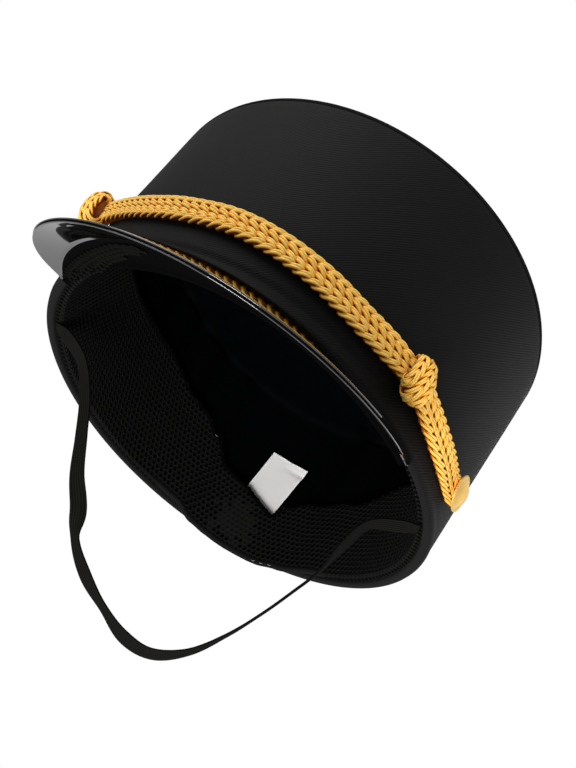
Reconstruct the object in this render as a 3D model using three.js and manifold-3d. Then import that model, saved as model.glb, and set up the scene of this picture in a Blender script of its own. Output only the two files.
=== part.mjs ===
// Train conductor cap: a tall flat-topped cloth crown with a glossy peak, a gold braid between two
// side buttons, a mesh sweatband, a gathered satin lining and an elastic chin strap.
// Millimetres. +Z runs up the crown, the peak faces -Y and +X is the wearer's left.
// The origin is the middle of the head opening, in the plane of the rim.

import * as THREE from 'three';
import { mergeVertices } from 'three/addons/utils/BufferGeometryUtils.js';
import Module from 'manifold-3d';

const wasm = await Module();
wasm.setup();

// Crown: an oval rim and a rounder, sloping top joined by straight lines
const RIM_HALF_WIDTH = 92.5;
const RIM_HALF_LENGTH = 106;
const TOP_HALF_WIDTH = 95;
const TOP_HALF_LENGTH = 94;
const TOP_SHIFT_BACK = 2.5;
const TOP_MID_HEIGHT = 96;
const TOP_FALL_TO_BACK = 0.16;
const CLOTH = 2;
const HEM_THICKNESS = 4;
const HEM_HEIGHT = 7;
const TOP_PANEL_THICKNESS = 2;
const GAP = 0.3;

// Peak: a stiff sheet under the front of the rim, bowed so that it steepens towards its edge;
// the rim lifts over it in a low arch
const PEAK_DEPTH = 57;
const PEAK_HALF_ANGLE = THREE.MathUtils.degToRad(55.5);
const PEAK_SLOPE = THREE.MathUtils.degToRad(30.2);
const PEAK_END_STEEPER = THREE.MathUtils.degToRad(7.5);
const PEAK_BOW = THREE.MathUtils.degToRad(19);
const PEAK_THICKNESS = 1.6;
const PEAK_ROOT_INSET = 4.5;
const PEAK_END_DEPTH = 1;
const PEAK_TAPER = 1.24;
const RIM_RISE = 1.4;

// Relief of the crown cloth above the peak: a soft ridge with a crease over it
const FRONT_RELIEF = [
  { above: 0.8, out: 0.2 },
  { above: 3, out: 1.3 },
  { above: 6, out: 0.5 },
  { above: 8.5, out: -0.7 },
  { above: 12, out: 0 },
];

// Sweatband: a padded mesh strip on a narrow foot, low and sagging below the rim at the back
const BAND_FOOT_INSET = HEM_THICKNESS + GAP;
const BAND_FACE_INSET = 7;
const BAND_TOP_LEAN = 1.8;
const BAND_THICKNESS = 2.6;
const BAND_EDGES = [
  { degrees: -180, foot: -4, head: 25.4 },
  { degrees: -175.5, foot: -3.7, head: 27.2 },
  { degrees: -166, foot: -2.4, head: 28 },
  { degrees: -158.5, foot: 1.3, head: 44 },
  { degrees: -150, foot: 1.7, head: 47 },
  { degrees: -125, foot: 1.7, head: 55 },
  { degrees: -60, foot: 1.7, head: 52 },
  { degrees: 0, foot: 1.7, head: 50 },
  { degrees: 60, foot: 1.7, head: 53 },
  { degrees: 110, foot: 1.7, head: 56 },
  { degrees: 128, foot: 1.7, head: 54.5 },
  { degrees: 148, foot: 1.2, head: 40 },
  { degrees: 162, foot: -2.2, head: 33.6 },
  { degrees: 169, foot: -3.8, head: 28 },
  { degrees: 172, foot: -4, head: 20.4 },
  { degrees: 180, foot: -4, head: 25.4 },
];

// Lining: a thin satin cup gathered into upright folds
const LINING_THICKNESS = 1;
const LINING_INSET = 2.6;
const LINING_TUCK = 9;
const LINING_FOLDS = 24;
const LINING_FOLD_DEPTH = 3.4;

// Size label: a soft tag on the lining, tucked behind the sweatband at the back
const LABEL_INSET = 4.4;
const LABEL_THICKNESS = 0.6;
const LABEL_MID_DEGREES = 178;
const LABEL_CORNERS = {
  topRight: { degrees: 183.5, height: 51.3 },
  topLeft: { degrees: 170.3, height: 50 },
  lowRight: { degrees: 185.6, height: 18.5 },
  lowLeft: { degrees: 173, height: 16.5 },
};

// Braid: a double plait with a valley between its two rows, pinched in the knots and at its ends
const BRAID_VALLEY = 0.22;
const BRAID_STEPS = 64;
const BRAID_ROUTE = [
  { degrees: -72.8, height: 23.4, lift: 0.4, half: 6.2, thick: 3.2 },
  { degrees: -67, height: 29, lift: 0.6, half: 6.4, thick: 4.6 },
  { degrees: -58.5, height: 33.4, lift: 2.2, half: 5.2, thick: 4.4 },
  { degrees: -48, height: 32.2, lift: 0.8, half: 6.4, thick: 4.6 },
  { degrees: -34, height: 29, lift: 0.4, half: 6.4, thick: 4.6 },
  { degrees: -24, height: 28.4, lift: 0.4, half: 6.4, thick: 4.6 },
  { degrees: -10, height: 28.4, lift: 0.4, half: 6.4, thick: 4.6 },
  { degrees: 2, height: 26.9, lift: 0.4, half: 6.4, thick: 4.6 },
  { degrees: 14, height: 24.4, lift: 0.4, half: 6.4, thick: 4.6 },
  { degrees: 26, height: 21.6, lift: 0.4, half: 6.4, thick: 4.6 },
  { degrees: 34, height: 21, lift: 0.8, half: 6.4, thick: 4.6 },
  { degrees: 42.2, height: 19.6, lift: 2.2, half: 5.2, thick: 4.4 },
  { degrees: 51, height: 17.2, lift: 0.8, half: 6.4, thick: 4.6 },
  { degrees: 62, height: 14.9, lift: 0.4, half: 6.4, thick: 4.6 },
  { degrees: 72.8, height: 15.5, lift: 0.4, half: 6.2, thick: 3.2 },
];

// Knots: wrapped lumps that slide on the braid
const KNOT_LENGTH = 14;
const KNOT_HALF_WIDTH = 9;
const KNOT_HALF_THICKNESS = 5.6;
const KNOT_END_SCALE = 0.76;
const KNOT_WRAP_RELIEF = 0.05;
const KNOT_PLACES = { left: 42.2, right: -58.5 };

// Buttons: domed discs on a shank, over the ends of the braid
const BUTTON_RADIUS = 7.5;
const BUTTON_SHANK_RADIUS = 1.6;
const BUTTON_STAND_OFF = 4;
const BUTTON_DOME = 2.4;
const BUTTON_PLACES = {
  left: { degrees: 74.5, height: 15 },
  right: { degrees: -74.5, height: 23 },
};

// Chin strap: flat elastic sewn under the sweatband's foot at both sides, a loop below the rim
const STRAP_WIDTH = 7;
const STRAP_THICKNESS = 1.2;
const STRAP_STEPS = 56;
const STRAP_ROUTE = [
  { x: -86.2, y: -15, z: 0.7, facing: [0, 0, -1] },
  { x: -80.5, y: -14.5, z: -0.6, facing: [0, -0.4, -0.9] },
  { x: -70.5, y: -9, z: -4.5, facing: [-0.4, -0.5, -0.8] },
  { x: -61.5, y: -3, z: -15.5, facing: [-0.5, -0.7, -0.6] },
  { x: -53.5, y: 1, z: -29.5, facing: [-0.5, -0.8, -0.5] },
  { x: -45.5, y: 4.5, z: -44, facing: [-0.3, -0.9, -0.4] },
  { x: -37.5, y: 8, z: -54.5, facing: [0.1, -1, -0.3] },
  { x: -31.5, y: 11.5, z: -65.5, facing: [-0.6, -0.5, -0.7] },
  { x: -20.5, y: 14.5, z: -74.5, facing: [-0.4, -0.6, -0.7] },
  { x: -7, y: 16, z: -81.5, facing: [-0.4, -0.3, -0.9] },
  { x: 6.5, y: 16.5, z: -87, facing: [-0.2, -0.5, -0.8] },
  { x: 20, y: 14.5, z: -87.5, facing: [0.2, -0.3, -0.9] },
  { x: 32.5, y: 11, z: -80.5, facing: [0.7, 0, -0.8] },
  { x: 42.5, y: 6, z: -68.5, facing: [0.8, 0.2, -0.5] },
  { x: 50.5, y: 0.5, z: -55.5, facing: [0.9, 0.3, -0.4] },
  { x: 56.5, y: -4.5, z: -44, facing: [0.9, 0.3, -0.4] },
  { x: 61.5, y: -8.5, z: -33, facing: [1, 0.2, -0.2] },
  { x: 64.5, y: -12.5, z: -21, facing: [1, -0.2, -0.3] },
  { x: 69, y: -15.5, z: -9, facing: [0.7, -0.1, -0.7] },
  { x: 79, y: -14, z: -2.4, facing: [0.3, -0.3, -0.9] },
  { x: 86.2, y: -13.5, z: 0.7, facing: [0, 0, -1] },
];

const WALL_STEPS = 64;
const DOWN = new THREE.Vector3(0, 0, -1);

// Smooth value of a table's column at x, with rows sorted by the key column
function tableValue(rows, key, column, x) {
  if (x <= rows[0][key]) return rows[0][column];
  for (let i = 1; i < rows.length; i += 1) {
    if (x <= rows[i][key]) {
      const share = THREE.MathUtils.smoothstep(x, rows[i - 1][key], rows[i][key]);
      return THREE.MathUtils.lerp(rows[i - 1][column], rows[i][column], share);
    }
  }
  return rows[rows.length - 1][column];
}

// Angles all round the cap, from the front towards the wearer's left
function anglesAround(count) {
  return Array.from({ length: count }, (unused, i) => (i / count) * 2 * Math.PI);
}

// Angle between -180 and 180 degrees
function wrapAngle(angle) {
  return Math.atan2(Math.sin(angle), Math.cos(angle));
}

// How strongly the peak shapes the rim at an angle: 1 at the front, 0 at the peak's ends
function peakShare(angle) {
  const along = Math.min(1, Math.abs(wrapAngle(angle)) / PEAK_HALF_ANGLE);
  return Math.cos((along * Math.PI) / 2) ** 2;
}

function rimHeight(angle) {
  return RIM_RISE * peakShare(angle);
}

// Where the crown's wall meets its sloping top
function topPoint(angle) {
  const y = TOP_SHIFT_BACK - TOP_HALF_LENGTH * Math.cos(angle);
  return new THREE.Vector3(TOP_HALF_WIDTH * Math.sin(angle), y, TOP_MID_HEIGHT - TOP_FALL_TO_BACK * y);
}

function rimPoint(angle) {
  return new THREE.Vector3(RIM_HALF_WIDTH * Math.sin(angle), -RIM_HALF_LENGTH * Math.cos(angle), 0);
}

// Level direction out of the crown at an angle
function outward(angle) {
  const aside = Math.sin(angle) / RIM_HALF_WIDTH;
  const back = -Math.cos(angle) / RIM_HALF_LENGTH;
  return new THREE.Vector3(aside, back, 0).normalize();
}

// Point on the crown's wall at a height, moved inwards by inset
function wallPoint(angle, height, inset = 0) {
  const top = topPoint(angle);
  const point = rimPoint(angle).lerp(top, height / top.z);
  return point.addScaledVector(outward(angle), -inset);
}

// Direction square to the crown's leaning wall
function wallNormal(angle) {
  const lean = topPoint(angle).sub(rimPoint(angle)).normalize();
  const normal = outward(angle);
  return normal.addScaledVector(lean, -normal.dot(lean)).normalize();
}

// Triangles of a closed body, turned so that its faces point out
function bodyFrom(points, triangles) {
  let volume = 0;
  for (const [a, b, c] of triangles) {
    volume += points[a].dot(new THREE.Vector3().crossVectors(points[b], points[c]));
  }
  const index = triangles.flatMap(([a, b, c]) => (volume < 0 ? [a, c, b] : [a, b, c]));
  const geometry = new THREE.BufferGeometry();
  geometry.setAttribute('position', new THREE.Float32BufferAttribute(points.flatMap((p) => p.toArray()), 3));
  geometry.setIndex(index);
  return geometry;
}

// Two triangles for each cell between neighbouring loops of equal length
function loopCells(loops, closedRound) {
  const size = loops[0].length;
  const rows = closedRound ? loops.length : loops.length - 1;
  const triangles = [];
  for (let i = 0; i < rows; i += 1) {
    const here = i * size;
    const next = ((i + 1) % loops.length) * size;
    for (let j = 0; j < size; j += 1) {
      const k = (j + 1) % size;
      triangles.push([here + j, next + j, next + k], [here + j, next + k, here + k]);
    }
  }
  return triangles;
}

// Ring-shaped body through closed sections that go all the way round
function ringBody(sections) {
  return bodyFrom(sections.flat(), loopCells(sections, true));
}

// Body through a stack of loops, closed by a fan at each end
function stackBody(loops) {
  const size = loops[0].length;
  const points = loops.flat();
  const triangles = loopCells(loops, false);
  const middle = (loop) => loop.reduce((sum, p) => sum.add(p), new THREE.Vector3()).divideScalar(size);
  const first = points.push(middle(loops[0])) - 1;
  const last = points.push(middle(loops[loops.length - 1])) - 1;
  const lastLoop = (loops.length - 1) * size;
  for (let j = 0; j < size; j += 1) {
    const k = (j + 1) % size;
    triangles.push([first, j, k], [last, lastLoop + k, lastLoop + j]);
  }
  return bodyFrom(points, triangles);
}

// Sheet between an upper and a lower grid of points, with closed edges
function sheetBody(upper, lower) {
  const rows = upper.length;
  const columns = upper[0].length;
  const loops = upper.map((row, i) => [...row, ...[...lower[i]].reverse()]);
  const size = 2 * columns;
  const triangles = loopCells(loops, false);
  const lastLoop = (rows - 1) * size;
  for (let j = 0; j < columns - 1; j += 1) {
    const under = size - 1 - j;
    triangles.push([j, j + 1, under - 1], [j, under - 1, under]);
    triangles.push([lastLoop + j, lastLoop + under - 1, lastLoop + j + 1]);
    triangles.push([lastLoop + j, lastLoop + under, lastLoop + under - 1]);
  }
  return bodyFrom(loops.flat(), triangles);
}

// Solid for cutting and joining, from a closed geometry
function toSolid(geometry) {
  const merged = mergeVertices(geometry, 1e-4);
  const mesh = new wasm.Mesh({
    numProp: 3,
    vertProperties: new Float32Array(merged.attributes.position.array),
    triVerts: new Uint32Array(merged.index.array),
  });
  return new wasm.Manifold(mesh);
}

function toGeometry(solid) {
  const mesh = solid.getMesh();
  const geometry = new THREE.BufferGeometry();
  geometry.setAttribute('position', new THREE.BufferAttribute(new Float32Array(mesh.vertProperties), 3));
  geometry.setIndex([...mesh.triVerts]);
  return geometry;
}

// Cloth wall of the crown: outer face with its front relief, upper edge, inner face and rolled hem
function crownSide() {
  const sections = anglesAround(WALL_STEPS).map((angle) => {
    const foot = rimHeight(angle);
    const share = peakShare(angle);
    const head = topPoint(angle).z - TOP_PANEL_THICKNESS - GAP;
    const relief = FRONT_RELIEF.map((row) => wallPoint(angle, foot + row.above, -row.out * share));
    return [
      wallPoint(angle, foot, 0.8),
      ...relief,
      wallPoint(angle, head * 0.4),
      wallPoint(angle, head * 0.75),
      wallPoint(angle, head),
      wallPoint(angle, head, CLOTH),
      wallPoint(angle, head * 0.5, CLOTH),
      wallPoint(angle, foot + HEM_HEIGHT + 3, CLOTH),
      wallPoint(angle, foot + HEM_HEIGHT, HEM_THICKNESS),
      wallPoint(angle, foot + 0.8, HEM_THICKNESS),
      wallPoint(angle, foot, HEM_THICKNESS - 0.8),
    ];
  });
  return ringBody(sections);
}

// Flat top panel, parallel to the slope, with a softened edge
function crownTop() {
  const edge = [
    { inset: 0.9, below: 0 },
    { inset: 0.2, below: 0.3 },
    { inset: 0, below: 0.9 },
    { inset: 0, below: TOP_PANEL_THICKNESS },
  ];
  const loops = edge.map((row) => anglesAround(WALL_STEPS).map((angle) => {
    const point = topPoint(angle).addScaledVector(outward(angle), -row.inset);
    point.z = TOP_MID_HEIGHT - TOP_FALL_TO_BACK * point.y - row.below;
    return point;
  }));
  return stackBody(loops);
}

// Peak sheet: a level root under the rim, then a slope that steepens out to a crescent edge
function peak() {
  const acrossSteps = 36;
  const slopeSteps = 6;
  const upper = [];
  const lower = [];
  for (let i = 0; i <= acrossSteps; i += 1) {
    const along = (2 * i) / acrossSteps - 1;
    const angle = along * PEAK_HALF_ANGLE;
    const depth = PEAK_END_DEPTH + PEAK_DEPTH * (1 - along ** 2) ** PEAK_TAPER;
    const bow = (PEAK_BOW * depth) / (PEAK_END_DEPTH + PEAK_DEPTH);
    const slopeAt = (share) => PEAK_SLOPE + PEAK_END_STEEPER * along ** 2 + bow * (share - 0.5);
    const out = outward(angle);
    const root = rimPoint(angle).setZ(rimHeight(angle) - GAP);
    const topRow = [root.clone().addScaledVector(out, -PEAK_ROOT_INSET)];
    const lowRow = [topRow[0].clone().addScaledVector(DOWN, PEAK_THICKNESS)];
    const point = root.clone().addScaledVector(out, -0.6);
    for (let j = 0; j <= slopeSteps; j += 1) {
      const slope = slopeAt(j / slopeSteps);
      const under = DOWN.clone().multiplyScalar(Math.cos(slope)).addScaledVector(out, -Math.sin(slope));
      const through = j === 0 ? DOWN.clone().add(under).normalize() : under;
      topRow.push(point.clone());
      lowRow.push(point.clone().addScaledVector(through, PEAK_THICKNESS));
      const stepSlope = slopeAt((j + 0.5) / slopeSteps);
      point.addScaledVector(out, (Math.cos(stepSlope) * depth) / slopeSteps);
      point.addScaledVector(DOWN, (Math.sin(stepSlope) * depth) / slopeSteps);
    }
    upper.push(topRow);
    lower.push(lowRow);
  }
  return sheetBody(upper, lower);
}

function bandEdge(angle, column) {
  return tableValue(BAND_EDGES, 'degrees', column, THREE.MathUtils.radToDeg(wrapAngle(angle)));
}

// Padded sweatband: foot against the hem, face leaning in a little towards its upper edge
function sweatband() {
  const sections = anglesAround(WALL_STEPS).map((angle) => {
    const foot = rimHeight(angle) + bandEdge(angle, 'foot');
    const head = bandEdge(angle, 'head');
    const middle = (foot + head) / 2;
    const face = BAND_FACE_INSET;
    const leaned = BAND_FACE_INSET + BAND_TOP_LEAN;
    return [
      wallPoint(angle, foot, BAND_FOOT_INSET),
      wallPoint(angle, foot, face - 0.9),
      wallPoint(angle, foot + 1, face),
      wallPoint(angle, middle, face + BAND_TOP_LEAN / 2),
      wallPoint(angle, head - 0.8, leaned),
      wallPoint(angle, head, leaned - 0.7),
      wallPoint(angle, head, leaned - BAND_THICKNESS + 0.7),
      wallPoint(angle, head - 0.8, leaned - BAND_THICKNESS),
      wallPoint(angle, foot + BAND_THICKNESS + 1, face - BAND_THICKNESS),
      wallPoint(angle, foot + BAND_THICKNESS, BAND_FOOT_INSET),
    ];
  });
  return ringBody(sections);
}

// Depth of the lining's gathers at an angle: uneven folds, none behind the label
function gather(angle) {
  const wave = 0.5 - 0.5 * Math.cos(LINING_FOLDS * angle);
  const uneven = 0.75 + 0.25 * Math.sin(5 * angle + 0.7);
  const fromLabel = Math.abs(wrapAngle(angle - THREE.MathUtils.degToRad(LABEL_MID_DEGREES)));
  return LINING_FOLD_DEPTH * wave * uneven * THREE.MathUtils.smoothstep(fromLabel, 0.16, 0.28);
}

// Satin cup: tucked behind the sweatband, gathered up the wall and flat under the top panel
function lining() {
  const angles = anglesAround(4 * LINING_FOLDS);
  const side = [
    { up: 0, fold: 0.3 },
    { up: 0.28, fold: 0.62 },
    { up: 0.6, fold: 1 },
    { up: 1, fold: 0.8 },
  ];
  const ceiling = [
    { inwards: 12, fold: 0.7 },
    { inwards: 50, fold: 0.3 },
  ];
  const under = TOP_PANEL_THICKNESS + GAP + 0.4;
  const wallLoop = (row, thick) => angles.map((angle) => {
    const low = bandEdge(angle, 'head') - LINING_TUCK;
    const high = topPoint(angle).z - under - 3 - thick;
    const height = THREE.MathUtils.lerp(low, high, row.up);
    return wallPoint(angle, height, LINING_INSET + thick + row.fold * gather(angle));
  });
  const ceilingLoop = (row, thick) => angles.map((angle) => {
    const point = topPoint(angle).addScaledVector(outward(angle), -row.inwards);
    const drop = under + thick + row.fold * gather(angle);
    point.z = TOP_MID_HEIGHT - TOP_FALL_TO_BACK * point.y - drop;
    return point;
  });
  const outer = [...side.map((row) => wallLoop(row, 0)), ...ceiling.map((row) => ceilingLoop(row, 0))];
  const inner = [
    ...side.map((row) => wallLoop(row, LINING_THICKNESS)),
    ...ceiling.map((row) => ceilingLoop(row, LINING_THICKNESS)),
  ];
  return stackBody([...outer.reverse(), ...inner]);
}

// Bare tag lying on the lining, between its four corners
function sizeLabel() {
  const rows = 6;
  const columns = 5;
  const { topRight, topLeft, lowRight, lowLeft } = LABEL_CORNERS;
  const blend = (column, across, up) => THREE.MathUtils.lerp(
    THREE.MathUtils.lerp(lowLeft[column], lowRight[column], across),
    THREE.MathUtils.lerp(topLeft[column], topRight[column], across),
    up,
  );
  const grid = (inset) => Array.from({ length: rows + 1 }, (unused, i) => (
    Array.from({ length: columns + 1 }, (alsoUnused, j) => {
      const angle = THREE.MathUtils.degToRad(blend('degrees', j / columns, i / rows));
      return wallPoint(angle, blend('height', j / columns, i / rows), inset);
    })
  ));
  return sheetBody(grid(LABEL_INSET), grid(LABEL_INSET + LABEL_THICKNESS));
}

// Curve through the braid's route, a lift above the cloth
const braidCurve = new THREE.CatmullRomCurve3(BRAID_ROUTE.map((row) => {
  const angle = THREE.MathUtils.degToRad(row.degrees);
  return wallPoint(angle, row.height).addScaledVector(wallNormal(angle), row.lift);
}));

// Angle round the crown of a point near its wall
function angleOf(point) {
  return Math.atan2(point.x / RIM_HALF_WIDTH, -point.y / RIM_HALF_LENGTH);
}

// Section of the braid at a point of its curve, widened all round by grow
function braidSection(share, grow) {
  const base = braidCurve.getPointAt(share);
  const along = braidCurve.getTangentAt(share);
  const angle = angleOf(base);
  const degrees = THREE.MathUtils.radToDeg(angle);
  const across = new THREE.Vector3().crossVectors(along, wallNormal(angle)).normalize();
  const lift = new THREE.Vector3().crossVectors(across, along);
  const outline = [
    { across: -0.8, lift: 0 },
    { across: 0.8, lift: 0 },
    { across: 1, lift: 0.35 },
    { across: 0.92, lift: 0.78 },
    { across: 0.55, lift: 1 },
    { across: 0.2, lift: 1 - BRAID_VALLEY / 2 },
    { across: 0, lift: 1 - BRAID_VALLEY },
    { across: -0.2, lift: 1 - BRAID_VALLEY / 2 },
    { across: -0.55, lift: 1 },
    { across: -0.92, lift: 0.78 },
    { across: -1, lift: 0.35 },
  ];
  const halfWidth = tableValue(BRAID_ROUTE, 'degrees', 'half', degrees) + grow;
  const thickness = tableValue(BRAID_ROUTE, 'degrees', 'thick', degrees) + 2 * grow;
  return outline.map((row) => base.clone()
    .addScaledVector(across, row.across * halfWidth)
    .addScaledVector(lift, row.lift * thickness - grow));
}

function braid() {
  const loops = [];
  for (let i = 0; i <= BRAID_STEPS; i += 1) {
    loops.push(braidSection(i / BRAID_STEPS, 0));
  }
  return stackBody(loops);
}

// Share of the braid's curve that is nearest to an angle
function braidShareAt(degrees) {
  const wanted = THREE.MathUtils.degToRad(degrees);
  let low = 0;
  let high = 1;
  for (let i = 0; i < 40; i += 1) {
    const middle = (low + high) / 2;
    if (angleOf(braidCurve.getPointAt(middle)) < wanted) low = middle;
    else high = middle;
  }
  return (low + high) / 2;
}

// Knot: a barrel of three wraps lying on the crown, with the braid's passage cut through it
function knot(degrees) {
  const rings = 10;
  const sides = 20;
  const share = braidShareAt(degrees);
  const base = braidCurve.getPointAt(share);
  const along = braidCurve.getTangentAt(share);
  const angle = angleOf(base);
  const across = new THREE.Vector3().crossVectors(along, wallNormal(angle)).normalize();
  const lift = new THREE.Vector3().crossVectors(across, along);
  const cloth = wallPoint(angle, base.z);
  const standOff = KNOT_HALF_THICKNESS + 2 * GAP - base.clone().sub(cloth).dot(lift);
  const middle = base.addScaledVector(lift, standOff);
  const loops = [];
  for (let i = 0; i <= rings; i += 1) {
    const u = (2 * i) / rings - 1;
    const bulge = KNOT_END_SCALE + (1 - KNOT_END_SCALE) * Math.sqrt(1 - Math.abs(u) ** 2.6);
    const scale = bulge * (1 - KNOT_WRAP_RELIEF * (0.5 - 0.5 * Math.cos(3 * Math.PI * (u + 1))));
    const loop = [];
    for (let j = 0; j < sides; j += 1) {
      const turn = (j / sides) * 2 * Math.PI;
      loop.push(middle.clone()
        .addScaledVector(along, (u * KNOT_LENGTH) / 2)
        .addScaledVector(across, KNOT_HALF_WIDTH * scale * Math.cos(turn))
        .addScaledVector(lift, KNOT_HALF_THICKNESS * scale * Math.sin(turn)));
    }
    loops.push(loop);
  }
  const passage = [];
  const reach = (0.75 * KNOT_LENGTH) / braidCurve.getLength();
  for (let i = -4; i <= 4; i += 1) {
    passage.push(braidSection(share + (i / 4) * reach, GAP));
  }
  return toGeometry(toSolid(stackBody(loops)).subtract(toSolid(stackBody(passage))));
}

// Domed button turned about its own Y axis, from the foot of its shank to the top of its dome
function button() {
  const rim = BUTTON_STAND_OFF + 0.9;
  const profile = [
    [0, 0],
    [BUTTON_SHANK_RADIUS, 0],
    [BUTTON_SHANK_RADIUS, BUTTON_STAND_OFF],
    [BUTTON_RADIUS - 0.4, BUTTON_STAND_OFF],
    [BUTTON_RADIUS, BUTTON_STAND_OFF + 0.4],
    [BUTTON_RADIUS - 0.3, rim],
    [BUTTON_RADIUS - 1.1, rim],
    [BUTTON_RADIUS * 0.75, rim + BUTTON_DOME * 0.45],
    [BUTTON_RADIUS * 0.4, rim + BUTTON_DOME * 0.85],
    [0, rim + BUTTON_DOME],
  ];
  const geometry = new THREE.LatheGeometry(profile.map(([r, h]) => new THREE.Vector2(r, h)), 20);
  geometry.deleteAttribute('normal');
  geometry.deleteAttribute('uv');
  return mergeVertices(geometry, 1e-4);
}

function placeButton(mesh, place) {
  const angle = THREE.MathUtils.degToRad(place.degrees);
  const normal = wallNormal(angle);
  mesh.position.copy(wallPoint(angle, place.height)).addScaledVector(normal, GAP);
  mesh.quaternion.setFromUnitVectors(new THREE.Vector3(0, 1, 0), normal);
  return mesh;
}

// Flat elastic: a thin eight-sided section that turns with the route's facing
function chinStrap() {
  const stations = STRAP_ROUTE.map((row) => new THREE.Vector3(row.x, row.y, row.z));
  const route = new THREE.CatmullRomCurve3(stations);
  const facings = STRAP_ROUTE.map((row) => new THREE.Vector3(...row.facing).normalize());
  const facing = new THREE.CatmullRomCurve3(facings);
  const outline = [
    { across: -1, out: -0.4 },
    { across: -0.9, out: -1 },
    { across: 0.9, out: -1 },
    { across: 1, out: -0.4 },
    { across: 1, out: 0.4 },
    { across: 0.9, out: 1 },
    { across: -0.9, out: 1 },
    { across: -1, out: 0.4 },
  ];
  const loops = [];
  for (let i = 0; i <= STRAP_STEPS; i += 1) {
    const t = route.getUtoTmapping(i / STRAP_STEPS);
    const point = route.getPoint(t);
    const along = route.getTangent(t);
    const across = new THREE.Vector3().crossVectors(along, facing.getPoint(t)).normalize();
    const out = new THREE.Vector3().crossVectors(across, along);
    loops.push(outline.map((row) => point.clone()
      .addScaledVector(across, (row.across * STRAP_WIDTH) / 2)
      .addScaledVector(out, (row.out * STRAP_THICKNESS) / 2)));
  }
  return stackBody(loops);
}

function material(color, roughness, metalness = 0) {
  return new THREE.MeshStandardMaterial({ color, roughness, metalness });
}

const gabardine = material(0x1b1b1c, 0.85);
const patent = material(0x0a0a0b, 0.08);
const meshCloth = material(0x121212, 0.9);
const satin = material(0x07080c, 0.45);
const tag = material(0xe9e9e6, 0.6);
const goldThread = material(0xe0a030, 0.5);
const goldMetal = material(0xd9a441, 0.3, 1);
const elastic = material(0x171717, 0.8);

function piece(name, geometry, finish) {
  const mesh = new THREE.Mesh(geometry, finish);
  mesh.name = name;
  return mesh;
}

const cap = new THREE.Group();
cap.name = 'train_conductor_cap';
cap.add(
  piece('crown_side', crownSide(), gabardine),
  piece('crown_top', crownTop(), gabardine),
  piece('peak', peak(), patent),
  piece('sweatband', sweatband(), meshCloth),
  piece('lining', lining(), satin),
  piece('size_label', sizeLabel(), tag),
  piece('braid', braid(), goldThread),
  piece('knot_left', knot(KNOT_PLACES.left), goldThread),
  piece('knot_right', knot(KNOT_PLACES.right), goldThread),
  placeButton(piece('button_left', button(), goldMetal), BUTTON_PLACES.left),
  placeButton(piece('button_right', button(), goldMetal), BUTTON_PLACES.right),
  piece('chin_strap', chinStrap(), elastic),
);

export default cap;
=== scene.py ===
import math

import bpy
import numpy as np
from mathutils import Matrix, Vector


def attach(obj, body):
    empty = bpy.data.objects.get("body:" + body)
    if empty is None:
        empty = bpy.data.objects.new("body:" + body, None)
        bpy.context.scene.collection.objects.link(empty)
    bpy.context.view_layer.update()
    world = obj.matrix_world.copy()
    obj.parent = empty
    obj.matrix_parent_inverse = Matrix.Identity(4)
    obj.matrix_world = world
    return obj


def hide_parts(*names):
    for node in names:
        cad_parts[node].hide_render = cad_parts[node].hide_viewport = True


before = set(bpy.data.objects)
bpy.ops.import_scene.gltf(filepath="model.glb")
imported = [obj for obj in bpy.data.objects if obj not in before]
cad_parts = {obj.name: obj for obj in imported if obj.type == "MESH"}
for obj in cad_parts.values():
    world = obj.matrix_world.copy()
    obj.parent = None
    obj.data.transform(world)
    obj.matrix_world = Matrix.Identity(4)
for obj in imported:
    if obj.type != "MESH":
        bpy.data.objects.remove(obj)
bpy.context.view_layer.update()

# Studio: the cap floats, tilted, in front of plain white, as a product picture shows it.
# The viewpoint is below the rim and a little to the wearer's left; a pale floor lies well below.
VIEW_AZIMUTH = math.radians(15.5)
VIEW_ELEVATION = math.radians(-27.957)
VIEW_ROLL = math.radians(35.649)
VIEW_TARGET = Vector((0.00592, 0.0, 0.03724))
VIEW_DISTANCE = 0.5
IMAGE_HEIGHT = 768
FOCAL_PIXELS = 1172.15
LIGHT_TARGET = Vector((0.0, 0.0, 0.04))
FLOOR_DROP = 0.9
FLOOR_RADIUS = 3.0
FLOOR_CORNERS = 96
FILL_LIGHT = 0.45

scene = bpy.context.scene
scene.view_settings.view_transform = "Standard"
towards = Vector((
    math.sin(VIEW_AZIMUTH) * math.cos(VIEW_ELEVATION),
    -math.cos(VIEW_AZIMUTH) * math.cos(VIEW_ELEVATION),
    math.sin(VIEW_ELEVATION),
))
level = Vector((math.cos(VIEW_AZIMUTH), math.sin(VIEW_AZIMUTH), 0.0))
rise = towards.cross(level)
view_right = level * math.cos(VIEW_ROLL) + rise * math.sin(VIEW_ROLL)
view_up = rise * math.cos(VIEW_ROLL) - level * math.sin(VIEW_ROLL)
camera = bpy.data.objects.new("camera", bpy.data.cameras.new("camera"))
camera.data.sensor_width = 36.0
camera.data.lens = camera.data.sensor_width * FOCAL_PIXELS / IMAGE_HEIGHT
camera.data.clip_start = 0.01
camera.matrix_world = Matrix.Translation(VIEW_TARGET + towards * VIEW_DISTANCE) @ Matrix(
    (view_right, view_up, towards)).transposed().to_4x4()
scene.collection.objects.link(camera)
scene.camera = camera


def soft_light(name, place, size, watts):
    """Square softbox at a place, facing the cap."""
    lamp = bpy.data.lights.new(name, "AREA")
    lamp.size = size
    lamp.energy = watts
    light = bpy.data.objects.new(name, lamp)
    light.location = place
    light.rotation_euler = (LIGHT_TARGET - Vector(place)).to_track_quat("-Z", "Y").to_euler()
    scene.collection.objects.link(light)


soft_light("key_light", (-0.56, -0.66, 0.8), 0.9, 9.2)
soft_light("opening_light", (0.08, -0.45, -0.6), 0.3, 6.3)
soft_light("side_card", (1.0, 0.55, 0.5), 1.4, 4.8)
soft_light("back_light", (-0.15, 0.95, 1.1), 0.9, 12.0)


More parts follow.
